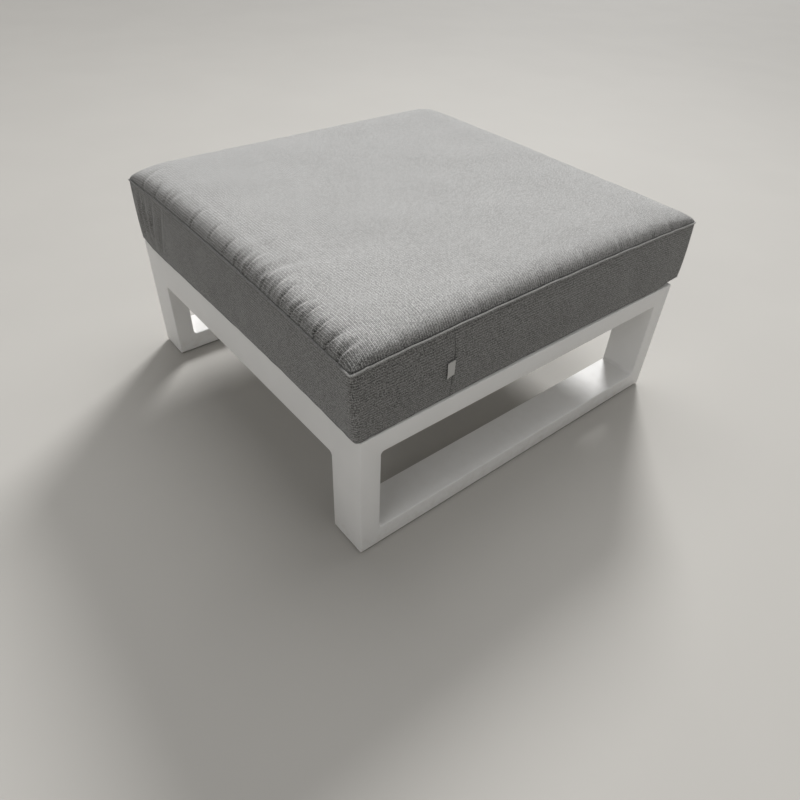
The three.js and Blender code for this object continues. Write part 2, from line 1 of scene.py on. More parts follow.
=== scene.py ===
# %% [markdown]
# # An outdoor ottoman, dressed in Blender
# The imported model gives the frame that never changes: where every tube, slat and panel is,
# in metres, with +Z up. This lesson builds the looks around it: a welded and coated frame,
# a filled cushion in a woven cover, and the small things that hold them together.

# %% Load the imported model
import math

import bmesh
import bpy
import numpy as np
from mathutils import Matrix, Vector


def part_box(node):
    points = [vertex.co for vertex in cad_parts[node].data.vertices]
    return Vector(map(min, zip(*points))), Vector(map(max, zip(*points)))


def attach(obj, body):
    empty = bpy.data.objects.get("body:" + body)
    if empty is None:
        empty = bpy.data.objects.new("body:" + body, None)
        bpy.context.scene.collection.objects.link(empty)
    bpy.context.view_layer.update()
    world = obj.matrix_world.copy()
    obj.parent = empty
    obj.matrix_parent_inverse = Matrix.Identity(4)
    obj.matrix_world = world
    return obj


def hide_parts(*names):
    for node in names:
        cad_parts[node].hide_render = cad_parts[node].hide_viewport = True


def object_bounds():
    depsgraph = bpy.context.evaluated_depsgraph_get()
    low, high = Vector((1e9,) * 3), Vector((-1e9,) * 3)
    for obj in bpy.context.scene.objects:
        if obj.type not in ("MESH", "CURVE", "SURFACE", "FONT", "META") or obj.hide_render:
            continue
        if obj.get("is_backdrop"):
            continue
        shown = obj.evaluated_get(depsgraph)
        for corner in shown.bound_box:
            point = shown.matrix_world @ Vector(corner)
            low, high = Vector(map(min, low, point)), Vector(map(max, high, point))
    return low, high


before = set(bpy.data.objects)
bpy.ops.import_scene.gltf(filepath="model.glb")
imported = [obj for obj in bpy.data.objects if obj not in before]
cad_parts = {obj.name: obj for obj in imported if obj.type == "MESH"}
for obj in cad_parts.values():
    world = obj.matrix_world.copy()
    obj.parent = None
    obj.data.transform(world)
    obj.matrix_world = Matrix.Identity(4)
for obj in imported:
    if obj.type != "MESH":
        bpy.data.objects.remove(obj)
cad_bounds = [list(map(float, corner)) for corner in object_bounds()]
scene = bpy.context.scene

# %% [markdown]
# ## Helpers for modelling
# Every rigid piece starts as a primitive and is shaped in edit mode. Operators act on what is
# selected, so one helper opens a piece with exactly the wanted faces or edges selected.

# %% Selecting


def deselect_all():
    if bpy.context.object and bpy.context.object.mode != "OBJECT":
        bpy.ops.object.mode_set(mode="OBJECT")
    bpy.ops.object.select_all(action="DESELECT")


def activate(piece):
    deselect_all()
    piece.select_set(True)
    bpy.context.view_layer.objects.active = piece


def open_with(piece, kind, test=lambda part: True):
    """Opens the piece in edit mode, with only the parts selected that pass the test."""
    activate(piece)
    bpy.ops.object.mode_set(mode="EDIT")
    bpy.context.tool_settings.mesh_select_mode = [kind == k for k in ("VERT", "EDGE", "FACE")]
    bpy.ops.mesh.select_all(action="DESELECT")
    mesh = bmesh.from_edit_mesh(piece.data)
    parts = {"VERT": mesh.verts, "EDGE": mesh.edges, "FACE": mesh.faces}[kind]
    for part in parts:
        part.select_set(bool(test(part)))
    mesh.select_flush_mode()
    bmesh.update_edit_mesh(piece.data)
    return sum(1 for part in parts if part.select)


def close_edit():
    bpy.ops.object.mode_set(mode="OBJECT")


# %% Making and finishing


def named(name):
    """The primitive that was just added, under its own name."""
    bpy.context.object.name = name
    return bpy.context.object


def apply_place(piece):
    activate(piece)
    bpy.ops.object.transform_apply(location=True, rotation=True, scale=True)


def apply_modifier(piece, kind, **settings):
    activate(piece)
    modifier = piece.modifiers.new(kind.title(), kind)
    for name, value in settings.items():
        setattr(modifier, name, value)
    bpy.ops.object.modifier_apply(modifier=modifier.name)


def combine(piece, tool, operation):
    """Adds the tool's shape to the piece or cuts it out, and throws the tool away."""
    apply_modifier(piece, "BOOLEAN", operation=operation, solver="EXACT", object=tool)
    bpy.data.objects.remove(tool)


def box_piece(name, low, high):
    """A primitive cube between two corners, with its place in its mesh."""
    low, high = Vector(low), Vector(high)
    deselect_all()
    bpy.ops.mesh.primitive_cube_add(size=1, location=(low + high) / 2)
    piece = named(name)
    piece.scale = high - low
    apply_place(piece)
    return piece


def grid_piece(name, columns, rows, where):
    """A primitive grid, with each point moved to where its two shares, 0 to 1, put it."""
    deselect_all()
    bpy.ops.mesh.primitive_grid_add(x_subdivisions=columns, y_subdivisions=rows, size=1)
    piece = named(name)
    for vertex in piece.data.vertices:
        vertex.co = where(vertex.co.x + 0.5, vertex.co.y + 0.5)
    return piece


def face_outwards():
    """Turns what is selected to face outwards, and leaves edit mode."""
    bpy.ops.mesh.normals_make_consistent(inside=False)
    close_edit()


def smooth_by_angle(piece, degrees=32):
    activate(piece)
    bpy.ops.object.shade_smooth_by_angle(angle=math.radians(degrees))


def copy_of(piece, name):
    twin = piece.copy()
    twin.data = piece.data.copy()
    twin.name = name
    scene.collection.objects.link(twin)
    return twin


def describe(piece):
    size = [round(side * 1000, 1) for side in piece.dimensions]
    print(f"{piece.name}: {len(piece.data.polygons)} faces, {size} mm")


# %% [markdown]
# ## Helpers for finishes
# A finish is reckoned, not painted: noise, waves and masks are added and multiplied. Wrapping a
# socket in a class lets those sums be written as plain Python.

# %% Shader sums


def math_node(operation, swapped=False):
    """A method that adds one Math node; swapped puts the other value first."""

    def method(self, *others):
        values = (*others, self) if swapped else (self, *others)
        settings = {"operation": operation}
        return self.nodes.add("ShaderNodeMath", settings, dict(enumerate(values)))[0]

    return method


class Signal:
    """A node's output that can be reckoned with."""

    def __init__(self, nodes, socket):
        self.nodes = nodes
        self.socket = socket

    __add__ = math_node("ADD")
    __radd__ = math_node("ADD", swapped=True)
    __sub__ = math_node("SUBTRACT")
    __rsub__ = math_node("SUBTRACT", swapped=True)
    __mul__ = math_node("MULTIPLY")
    __rmul__ = math_node("MULTIPLY", swapped=True)
    __truediv__ = math_node("DIVIDE")
    __pow__ = math_node("POWER")
    sine = math_node("SINE")
    size = math_node("ABSOLUTE")
    floor = math_node("FLOOR")
    highest = math_node("MAXIMUM")
    over = math_node("GREATER_THAN")

    def ramp(self, low, high):
        """0 at low, 1 at high, smooth between."""
        ends = {"Value": self, "From Min": low, "From Max": high}
        return self.nodes.add("ShaderNodeMapRange", {"interpolation_type": "SMOOTHSTEP"}, ends)[0]


# %% Nodes and finishes


class Nodes:
    """The nodes of a material or of the sky."""

    def __init__(self, owner):
        owner.use_nodes = True
        self.tree = owner.node_tree

    def feed(self, node, values):
        """Gives a node's sockets their values or links."""
        for key, value in values.items():
            if isinstance(key, int):
                socket = node.inputs[key]
            else:
                live = [s for s in node.inputs if s.enabled]
                socket = next(s for s in live if key in (s.identifier, s.name))
            if isinstance(value, Signal):
                self.tree.links.new(value.socket, socket)
            else:
                socket.default_value = (*value, 1.0) if isinstance(value, tuple) else value

    def add(self, kind, settings=None, values=None):
        """Adds a node: its settings first, then its sockets. Returns its outputs."""
        node = self.tree.nodes.new(kind)
        for name, value in (settings or {}).items():
            setattr(node, name, value)
        self.feed(node, values or {})
        return [Signal(self, socket) for socket in node.outputs if socket.enabled]

    def add_named(self, kind):
        """Adds a node that needs nothing. Returns its outputs by name."""
        return {signal.socket.name: signal for signal in self.add(kind)}


class Finish(Nodes):
    """A material under one Principled shader."""

    def __init__(self, name, constants=None):
        self.material = bpy.data.materials.new(name)
        super().__init__(self.material)
        self.shader = self.tree.nodes["Principled BSDF"]
        self.feed(self.shader, constants or {})

    def place(self, source="Object"):
        """Where a point is: x, y and z in metres, or its u and v."""
        return self.add_named("ShaderNodeTexCoord")[source]

    def split(self, source="Object"):
        """The same as three numbers."""
        return self.add("ShaderNodeSeparateXYZ", {}, {"Vector": self.place(source)})

    def noise(self, place, scale, detail=2.0, roughness=0.5):
        """Noise at a place, or at three numbers."""
        if isinstance(place, tuple):
            place = self.add("ShaderNodeCombineXYZ", {}, dict(zip("XYZ", place)))[0]
        values = {"Vector": place, "Scale": scale, "Detail": detail, "Roughness": roughness}
        return self.add("ShaderNodeTexNoise", {}, values)[0]

    def blend(self, factor, first, second):
        values = {"Factor_Float": factor, "A_Color": first, "B_Color": second}
        return self.add("ShaderNodeMix", {"data_type": "RGBA"}, values)[0]

    def bump(self, height, distance, strength):
        values = {"Height": height, "Distance": distance, "Strength": strength}
        self.feed(self.shader, {"Normal": self.add("ShaderNodeBump", {}, values)[0]})

    def show(self, color, roughness):
        self.feed(self.shader, {"Base Color": color, "Roughness": roughness})


def grained(name, scale, detail, tones, roughness, constants=None):
    """A finish with one fine grain: two tones, and a roughness with what the grain adds."""
    finish = Finish(name, constants)
    grain = finish.noise(finish.place(), scale, detail)
    finish.show(finish.blend(grain, *tones), roughness[0] + grain * roughness[1])
    return finish, grain


def dress(piece, finish):
    piece.data.materials.clear()
    piece.data.materials.append(finish.material)


# %% [markdown]
# ## Stage, camera and light
# The camera stands where the photographer stood: it was worked out from the corners of the
# frame. The floor is plain and pale. The main light comes from behind, as from a window, and
# an even sky fills the rest, so that the sides turned to the camera stay softer than the top.

# %% Camera
camera_data = bpy.data.cameras.new("camera")
camera_data.lens = 28.69
camera_data.sensor_width = 36.0
camera = bpy.data.objects.new("camera", camera_data)
scene.collection.objects.link(camera)
camera_place = Vector((0.9419, -0.7922, 0.9134))
aim_point = Vector((0.2386, -0.1898, 0.133))
tilt = math.radians(2.742)

aim = (aim_point - camera_place).normalized()
level_right = aim.cross(Vector((0, 0, 1))).normalized()
level_up = level_right.cross(aim)
right = math.cos(tilt) * level_right + math.sin(tilt) * level_up
up = math.cos(tilt) * level_up - math.sin(tilt) * level_right
looking = Matrix((right, up, -aim)).transposed().to_4x4()
camera.matrix_world = Matrix.Translation(camera_place) @ looking
scene.camera = camera
print("camera at", [round(c, 3) for c in camera_place])

# %% Floor and lamps
deselect_all()
bpy.ops.mesh.primitive_plane_add(size=16, location=(0, 0, 0))
floor = named("floor")
floor_finish = Finish("pale_floor")
tone = floor_finish.noise(floor_finish.place(), 2.2, 4.0).ramp(0.3, 0.7)
floor_finish.show(floor_finish.blend(tone, (0.45, 0.436, 0.41), (0.462, 0.448, 0.421)), 0.85)
dress(floor, floor_finish)
floor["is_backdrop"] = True


def lamp_at(name, kind, place, target, **settings):
    data = bpy.data.lights.new(name, kind)
    for key, value in settings.items():
        setattr(data, key, value)
    lamp = bpy.data.objects.new(name, data)
    scene.collection.objects.link(lamp)
    lamp.location = place
    direction = Vector(target) - Vector(place)
    lamp.rotation_euler = direction.to_track_quat("-Z", "Y").to_euler()


lamp_at("window", "SUN", (-3.1, 4.2, 3.8), (0, 0, 0.3), energy=3.0, angle=math.radians(14))
lamp_at("ceiling", "AREA", (-0.6, 0.8, 3.4), (0, 0, 0.2), energy=60, size=3.2, shape="DISK")
lamp_at("fill", "AREA", (1.5, -4.0, 3.0), (0, 0, 0.2), energy=35, size=3.0, shape="DISK")
lamp_at("side", "AREA", (4.2, 0.6, 2.2), (0, 0, 0.2), energy=10, size=3.0, shape="DISK")
print("lamps:", len(bpy.data.lights))

# %% Sky
scene.view_settings.view_transform = "Standard"
scene.world = bpy.data.worlds.new("sky")
sky = Nodes(scene.world)
sky.tree.nodes.clear()
ray = sky.add_named("ShaderNodeLightPath")
seen = ray["Is Camera Ray"].highest(ray["Is Glossy Ray"]).highest(ray["Is Transmission Ray"])
warm_white, pale_grey = (1.0, 0.985, 0.96), (0.86, 0.85, 0.83)
even_sky = sky.add("ShaderNodeBackground", {}, {"Color": warm_white, "Strength": 0.195})[0]
backdrop = sky.add("ShaderNodeBackground", {}, {"Color": pale_grey, "Strength": 1.0})[0]
mixed_sky = sky.add("ShaderNodeMixShader", {}, {0: seen, 1: even_sky, 2: backdrop})[0]
sky.add("ShaderNodeOutputWorld", {}, {"Surface": mixed_sky})
print("sky nodes:", len(sky.tree.nodes))

# %% [markdown]
# ## Sizes of the frame
# The tubes give the frame its measures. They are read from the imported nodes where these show
# them, so the dressed frame covers exactly the same metal.

# %% Frame measures
ring_low, ring_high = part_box("right_sled_bottom_rail")[0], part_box("right_sled_top_rail")[1]
inner_x = ring_low.x
outer_x = ring_high.x
end_y = 0.4
floor_gap = ring_low.z
frame_top = ring_high.z
tube_wide = 0.08
tube_thick = 0.04
fillet = 0.008
edge = 0.003
hair = 0.001
print("frame", round(outer_x * 2000), "x", round(end_y * 2000), "top", round(frame_top * 1000, 1))

# %% [markdown]
# ## Ring sleds and rails
# A real one is cut from 80 x 40 mm tube, welded and ground flush before it is coated, so no
# joint shows. A block with an opening makes a ring, an inverted U makes a rail with the legs
# under its ends, and joining them all by a boolean gives one skin, as the coating does. The U
# is a fiftieth of a millimetre smaller, so no two faces of the boolean fight in one plane.

# %% A ring sled


def round_off(piece, in_corner):
    """Rounds the inner corners as a weld does, then breaks every sharp edge."""
    print(piece.name, "inner corners:", open_with(piece, "EDGE", in_corner))
    bpy.ops.mesh.bevel(offset=fillet, segments=6, profile=0.5, affect="EDGES")
    close_edit()
    apply_modifier(piece, "BEVEL", width=edge, segments=3, angle_limit=math.radians(40))


def ring_sled(name, low_x, high_x):
    piece = box_piece(name, (low_x, -end_y, floor_gap), (high_x, end_y, frame_top))
    open_with(piece, "FACE", lambda face: abs(face.normal.x) > 0.9)
    bpy.ops.mesh.inset(thickness=tube_thick, use_even_offset=True)
    bpy.ops.mesh.bridge_edge_loops()
    close_edit()

    def in_corner(part):
        a, b = (v.co for v in part.verts)
        along_x = abs(a.x - b.x) > tube_wide * 0.9
        return along_x and abs(abs(a.y) - (end_y - tube_thick)) < hair

    round_off(piece, in_corner)
    return piece


right_ring = ring_sled("right_ring", inner_x, outer_x)
left_ring = ring_sled("left_ring", -outer_x, -inner_x)
describe(right_ring)

# %% A rail with the legs under its ends


def rail_and_legs(name, front):
    slack = 0.00002
    near, far = sorted((front * (end_y - slack), front * (end_y - tube_thick + slack)))
    under = frame_top - tube_wide
    reach = outer_x - slack
    piece = box_piece(name, (-reach, near, under), (reach, far, frame_top - slack))
    for x in (-inner_x, inner_x):
        open_with(piece, "FACE")
        bpy.ops.mesh.bisect(plane_co=(x, 0, 0), plane_no=(1, 0, 0))
    close_edit()

    def under_end(face):
        return face.normal.z < -0.9 and abs(face.calc_center_median().x) > inner_x

    open_with(piece, "FACE", under_end)
    drop = Vector((0, 0, floor_gap + slack - under))
    bpy.ops.mesh.extrude_region_move(TRANSFORM_OT_translate={"value": drop})
    close_edit()

    def in_corner(part):
        a, b = (v.co for v in part.verts)
        along_y = abs(a.y - b.y) > tube_thick * 0.75
        return along_y and abs(abs(a.x) - inner_x) < hair and abs(a.z - under) < hair

    round_off(piece, in_corner)
    return piece


front_portal = rail_and_legs("front_portal", -1)
back_portal = rail_and_legs("back_portal", 1)
describe(front_portal)

# %% Join them and drill the drain holes
drain_y = 0.29
welded_frame = right_ring
welded_frame.name = "welded_frame"
for part in (left_ring, front_portal, back_portal):
    combine(welded_frame, part, "UNION")
for side in (-1, 1):
    for y in (-drain_y, drain_y):
        deselect_all()
        drain_at = (side * (outer_x - tube_wide / 2), y, floor_gap)
        drill_size = {"vertices": 24, "radius": 0.003, "depth": 0.05}
        bpy.ops.mesh.primitive_cylinder_add(**drill_size, location=drain_at)
        drill = named("drill")
        apply_place(drill)
        combine(welded_frame, drill, "DIFFERENCE")
smooth_by_angle(welded_frame)
describe(welded_frame)

# %% [markdown]
# ## Weld beads
# Where the slats meet the rails nobody sees the joint, so it isn't ground: a bead runs round
# each end, with the ripples that the torch leaves. A short strip with a rounded cross-section
# is pushed in and out along its length to make one bead for under a slat and one for beside it,
# and the rest are copies.

# %% Beads at the slat ends


def weld_bead(name, length, radius=0.0032):
    """A rippled quarter-round along X, in the corner of the planes y = 0 and z = 0."""
    point_gap, ripple_gap, fade_length = 0.0009, 0.0026, 0.003

    def where(along, across):
        ripple = 1 + 0.13 * math.sin(along * length / ripple_gap * math.tau)
        ends = (along * length / fade_length, (1 - along) * length / fade_length)
        angle = across * math.pi / 2
        reach = radius * ripple * min(1, *ends) ** 0.5
        return (along - 0.5) * length, reach * math.cos(angle), -reach * math.sin(angle)

    return grid_piece(name, int(length / point_gap), 5, where)


slats = [f"seat_slat_{i}" for i in range(1, 7)]
rail_face = end_y - tube_thick
low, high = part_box(slats[0])
under_bead = weld_bead("under_bead", high.x - low.x - 0.004)
side_bead = weld_bead("side_bead", 0.016)
beads = []
for slat in slats:
    low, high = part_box(slat)
    for front in (-1, 1):
        bead = copy_of(under_bead, "bead")
        bead.rotation_euler = (0, 0, 0 if front < 0 else math.pi)
        bead.location = ((low.x + high.x) / 2, front * rail_face, low.z)
        beads.append(bead)
        for x, side in ((low.x, -1), (high.x, 1)):
            bead = copy_of(side_bead, "bead")
            upright = Matrix(((0, 0, 1), (0, -front, 0), (-side, 0, 0))).transposed().to_4x4()
            corner = Matrix.Translation((x, front * rail_face, low.z + 0.009))
            bead.matrix_world = corner @ upright
            beads.append(bead)
for bead in beads:
    apply_place(bead)
for bead in (under_bead, side_bead):
    bpy.data.objects.remove(bead)

deselect_all()
for bead in beads:
    bead.select_set(True)
weld_beads = beads[0]
bpy.context.view_layer.objects.active = weld_beads
bpy.ops.object.join()
weld_beads.name = "weld_beads"
smooth_by_angle(weld_beads, 60)
describe(weld_beads)

# %% [markdown]
# ## Powder coat
# The coat is baked-on powder: white, satin, with a faint orange peel, and a little dust where
# the frame is near the ground.

# %% The coat's finish
satin = {"Coat Weight": 0.04, "Coat Roughness": 0.4, "Specular IOR Level": 0.36}
coat = Finish("white_powder_coat", satin)
spot = coat.place()
peel = coat.noise(spot, 700.0)
cloud = coat.noise(spot, 7.0, 3.0).ramp(0.35, 0.75)
near_floor = 1.0 - coat.split()[2].ramp(0.004, 0.06)
dust = near_floor * coat.noise(spot, 60.0, 4.0).ramp(0.4, 0.8)
clean = coat.blend(cloud, (0.815, 0.81, 0.797), (0.845, 0.84, 0.827))
dusty = coat.blend(dust * 0.35, clean, (0.60, 0.56, 0.50))
coat.show(dusty, 0.54 + cloud * 0.06 + dust * 0.2)
coat.bump(peel, 0.00012, 0.6)
for piece in (welded_frame, weld_beads):
    dress(piece, coat)
    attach(piece, "frame")
tubes = [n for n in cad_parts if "sled" in n] + ["front_rail", "back_rail"]
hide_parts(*tubes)
for slat in slats:
    dress(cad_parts[slat], coat)
    smooth_by_angle(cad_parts[slat])
print("coated:", len(tubes), "tubes and", len(slats), "slats")

# %% [markdown]
# ## Glides and screws
# Each sled stands on two low plastic discs. The screw sits in a countersink so that it never
# touches the floor. One of each is turned from its profile, and the others are copies.

# %% One glide and one screw


def turned_piece(name, profile, steps=48):
    """Takes a profile of (radius, height) points round the Z axis. It stays in edit mode."""
    deselect_all()
    radius, height = profile[0]
    bpy.ops.mesh.primitive_circle_add(vertices=steps, radius=radius, location=(0, 0, height))
    piece = named(name)
    apply_place(piece)
    open_with(piece, "EDGE")
    for next_radius, next_height in profile[1:]:
        lift = {"value": (0, 0, next_height - height)}
        bpy.ops.mesh.extrude_edges_move(TRANSFORM_OT_translate=lift)
        share = next_radius / radius
        bpy.ops.transform.resize(value=(share, share, 1), center_override=(0, 0, next_height))
        radius, height = next_radius, next_height
    return piece


rim, bore, sink_rim, glide_high = 0.014, 0.0023, 0.0045, 0.003
outside = [(rim - 0.0009, 0), (rim - 0.0003, 0.0003), (rim, 0.0009), (rim, glide_high)]
inside = [(bore, glide_high), (bore, 0.0024), (sink_rim, 0.0005), (sink_rim, 0)]
glide = turned_piece("glide", [(sink_rim, 0)] + outside + inside)
bpy.ops.mesh.select_all(action="SELECT")
bpy.ops.mesh.remove_doubles(threshold=0.00001)
face_outwards()

shank, screw_tip = 0.002, 0.0145
screw_head = [(0.0008, 0.0005), (0.0038, 0.0005), (0.004, 0.0007), (shank, 0.0025)]
screw = turned_piece("screw", screw_head + [(shank, screw_tip - 0.002), (0.0002, screw_tip)], 32)
close_edit()
apply_modifier(screw, "TRIANGULATE")
open_with(screw, "EDGE")
bpy.ops.mesh.fill_holes(sides=0)
face_outwards()
for angle in (0, math.pi / 2):
    blade = box_piece("blade", (-0.0022, -0.0004, 0.0002), (0.0022, 0.0004, 0.0017))
    blade.rotation_euler = (0, 0, angle)
    apply_place(blade)
    combine(screw, blade, "DIFFERENCE")
describe(glide)
describe(screw)

# %% Their finishes and the four copies
soot = (0.012, 0.012, 0.013), (0.03, 0.03, 0.031)
steel_grey = (0.42, 0.42, 0.43), (0.62, 0.62, 0.62)
plastic, grain = grained("glide_plastic", 2500.0, 2.0, soot, (0.5, 0.25))
plastic.bump(grain, 0.00008, 0.5)
steel = grained("screw_steel", 1800.0, 3.0, steel_grey, (0.22, 0.25), {"Metallic": 1.0})[0]
glide_x, glide_y = outer_x - tube_wide / 2, 0.35
turned = (
    (glide, "glide_disc", plastic, "glide_plastic", "glide"),
    (screw, "screw", steel, "screw_steel", "glide_screw"),
)
for side, x in (("right", glide_x), ("left", -glide_x)):
    for end, y in (("front", -glide_y), ("back", glide_y)):
        for pattern, name, finish, slot, node in turned:
            piece = copy_of(pattern, f"{side}_{end}_{name}")
            piece.location = (x, y, 0)
            apply_place(piece)
            smooth_by_angle(piece, 40)
            dress(piece, finish)
            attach(piece, "frame")
            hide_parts(f"{side}_{end}_{node}")
for pattern in (glide, screw):
    bpy.data.objects.remove(pattern)
print("glides and screws stand at", round(glide_x, 3), "and", glide_y)

# %% [markdown]
# ## The cushion's form
# A box cushion is two panels and a strip between them, sewn edge to edge round a block of foam.
# Its sides draw in between the corners because the cloth there is pulled by the filling, and
# its top stands up steeply from the seam. A grid makes the panel, its rim is extruded down for
# the strip, and a second grid closes the underside. The grid keeps its squares, so the seams
# are rows of points that can be found again after the cloth has been blown up.

# %% A box of squares
seam_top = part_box("cover_top_panel")[0].z + 0.0018
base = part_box("cover_bottom_panel")[0].z
half_wide = 0.399
half_deep = 0.410
seam_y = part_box("cover_back_boxing")[0].y - 0.00015
boxing_high = seam_top - base
zip_level = (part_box("zip_upper_tape")[0].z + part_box("zip_lower_tape")[1].z) / 2
zip_drop = (seam_top - zip_level) / boxing_high
strip_mm = 132
zip_rows = [zip_drop + s * mm / strip_mm for s in (-1, 1) for mm in (9.5, 7.2, 6.3, 5.5)]
even_rows = [0, 0.06, 0.13, 0.2, 0.27, 0.34, zip_drop, 0.62, 0.69, 0.76, 0.83, 0.9, 0.95, 1]
row_drops = sorted(even_rows + zip_rows)
rows = len(row_drops) - 1
squares_wide, squares_deep = 96, 98

deselect_all()
bpy.ops.mesh.primitive_grid_add(x_subdivisions=squares_wide, y_subdivisions=squares_deep, size=2)
cushion = named("cushion")
open_with(cushion, "FACE")
bpy.ops.mesh.duplicate_move(TRANSFORM_OT_translate={"value": (0, 0, -1)})
bpy.ops.mesh.flip_normals()
close_edit()
open_with(cushion, "EDGE", lambda part: part.is_boundary and part.verts[0].co.z > -0.5)
for row in range(rows):
    bpy.ops.mesh.extrude_edges_move(TRANSFORM_OT_translate={"value": (0, 0, -1 / rows)})
bpy.ops.mesh.select_all(action="SELECT")
bpy.ops.mesh.remove_doubles(threshold=0.001)
face_outwards()
describe(cushion)

# %% Where each point of the cloth lies


def points_of(piece, kind="co"):
    """The places of the piece's points, or with kind "normal" the way that each faces."""
    flat = np.empty(len(piece.data.vertices) * 3, dtype=np.float32)
    piece.data.vertices.foreach_get(kind, flat)
    return flat.reshape(-1, 3).astype(float)


def move_points(piece, points):
    piece.data.vertices.foreach_set("co", points.astype(np.float32).ravel())
    piece.data.update()


def ease(low, high, value):
    t = np.clip((value - low) / (high - low), 0, 1)
    return t * t * (3 - 2 * t)


def hump(offset):
    """A bell curve, 1 in the middle."""
    return np.exp(-(offset**2))


tiny = 0.0001
grid = points_of(cushion)
u0, v0 = grid[:, 0], grid[:, 1]
drop = np.interp(-grid[:, 2], np.linspace(0, 1, rows + 1), row_drops)
at_end_x, at_end_y = abs(u0) > 1 - tiny, abs(v0) > 1 - tiny
on_rim = at_end_x | at_end_y
on_top = drop < 0.001
on_base = drop > 0.999

# The squares stand closer together at the seams, and closest at the upright ones.
close_up = 0.55
u = (1 - close_up) * u0 + close_up * np.sin(u0 * np.pi / 2)
v = (1 - close_up) * v0 + close_up * np.sin(v0 * np.pi / 2)
seam_v = seam_y / half_deep
from_seam = v - seam_v
v = seam_v + from_seam * (1 - 0.78 * hump(from_seam * half_deep / 0.02))
print("cloth points:", len(grid), "on the rim:", int(on_rim.sum()))

# %% The plan: drawn-in sides, round corners, a little skew
draw_in = 0.008
corner = 0.0085 + 0.0015 * drop
fuller_below = 1 - 0.55 * ease(0, 1, drop) * on_rim
in_x = draw_in * (1 - v**2) * fuller_below
at_back = v > 0
in_y = draw_in * np.where(at_back, 1 - ease(0.82, 1, abs(u)), (1 - u**2) * fuller_below)
x = u * (half_wide - in_x)
y = v * (half_deep - in_y)
centre_x, centre_y = half_wide - corner, half_deep - corner
a = np.clip((abs(x) - centre_x) / corner, 0, 1)
b = np.clip((abs(y) - centre_y) / corner, 0, 1)
rounded = (a > 0) & (b > 0)
round_a = a * np.sqrt(1 - b**2 / 2)
round_b = b * np.sqrt(1 - a**2 / 2)
x = np.where(rounded, np.sign(x) * (centre_x + corner * round_a), x)
y = np.where(rounded, np.sign(y) * (centre_y + corner * round_b), y)
back_ears = 1 + 0.018 * ease(0.8, 1, abs(u))
front_skew = 1 - 0.002 + 0.0125 * u
y = y * np.where(at_back, back_ears, front_skew)
print("the sides draw in by", draw_in * 1000, "mm")

# %% The crown, the swell of the strip and the turned-up corners
crown_high, crown_run, dome_high, swell_out, tuck_in = 0.034, 0.085, 0.003, 0.0045, 0.002


def rise(distance):
    """How far the crown has risen at a distance from the seam: steep first, then flat."""
    to_plateau = 1 - np.clip(distance / crown_run, 0, 1)
    return (1 - to_plateau**2) ** 0.42


gap_x = half_wide - in_x - abs(u) * (half_wide - in_x)
gap_y = half_deep - in_y - abs(v) * (half_deep - in_y)
crown = rise(gap_x) * rise(gap_y)
dome = (1 - u**2) * (1 - v**2)
far_side = ease(0.9, -1, u)
fuller = crown_high + 0.007 * far_side * (0.55 + 0.45 * ease(-1, 0.6, v))
panel_z = seam_top + fuller * crown + dome_high * dome * crown
z = np.where(on_top, panel_z, seam_top - drop * boxing_high)
z += 0.003 * far_side * ease(0.6, 0, drop)

out_x = np.where(rounded, np.sign(x) * round_a, np.where(at_end_x, np.sign(x), 0))
out_y = np.where(rounded, np.sign(y) * round_b, np.where(at_end_y, np.sign(y), 0))
length = np.maximum(np.hypot(out_x, out_y), 1e-9)
swell = swell_out * (1 - (2 * drop - 1) ** 2) * on_rim
swell *= 1 - 0.6 * ease(0.75, 1, abs(u)) * ease(0.75, 1, abs(v))
tuck = tuck_in * np.clip((drop - 0.94) / 0.06, 0, 1) ** 2 * on_rim
x = x + out_x / length * (swell - tuck)
y = y + out_y / length * (swell - tuck)

cornered = ease(0.8, 1, abs(u)) * ease(0.79, 0.93, abs(v))
at_near_corner = (u > 0) & (v < 0)
lift = 0.009 * cornered * np.where(at_near_corner, 0, 1) * ease(0.35, 1, drop)
straight_back = ease(0.85, 0.95, v) * ease(0.82, 0.74, abs(u))
lean = 0.008 * ease(-0.7, 0.9, u) * (drop - 0.15) * (1 - straight_back)
form = np.column_stack([x, y + lean, z + lift])
move_points(cushion, form)
describe(cushion)

# %% [markdown]
# ## Blowing the cushion up
# Cloth simulation finds how the cover really lies: the seams are held, the filling presses out,
# and the cloth between them is a little too long, so that it puckers along the seam. The move
# of each point is capped, which keeps the cushion within its own size.

# %% Hold the seams
seam_gap = np.minimum(gap_x, gap_y)
corner_gap = np.maximum(gap_x, gap_y)
at_seam = on_rim & (on_top | on_base)
held = np.where(on_top, 0.85 * ease(0.03, 0.075, seam_gap), 0.25)
held = np.maximum(held, np.where(on_top, 0.7 * ease(0.07, 0.04, corner_gap), 0))
held = np.where(at_seam | on_base, 1.0, held)
near_front = ease(0.10, 0.02, gap_y) * (v < 0) * ease(0.06, 0.12, gap_x)
near_side = ease(0.08, 0.02, gap_x) * ease(0.06, 0.12, gap_y)
loose = np.clip(near_front + 0.4 * near_side, 0, 1) * on_top
for group, shares in (("hold", held), ("loose", loose)):
    cushion.vertex_groups.new(name=group)
    for index, share in enumerate(shares):
        cushion.vertex_groups[group].add([index], float(share), "REPLACE")
print("held points:", int((held == 1).sum()), "loose points:", int((loose > 0).sum()))

# %% Press the cloth out
cloth_settings = {
    "quality": 5, "mass": 0.25, "air_damping": 4.0,
    "tension_stiffness": 20.0, "compression_stiffness": 20.0,
    "shear_stiffness": 8.0, "bending_stiffness": 0.3,
    "use_pressure": True, "uniform_pressure_force": 4.0,
    "vertex_group_mass": "hold", "pin_stiffness": 2.0,
    "vertex_group_shrink": "loose", "shrink_min": 0.0, "shrink_max": -0.04,
}


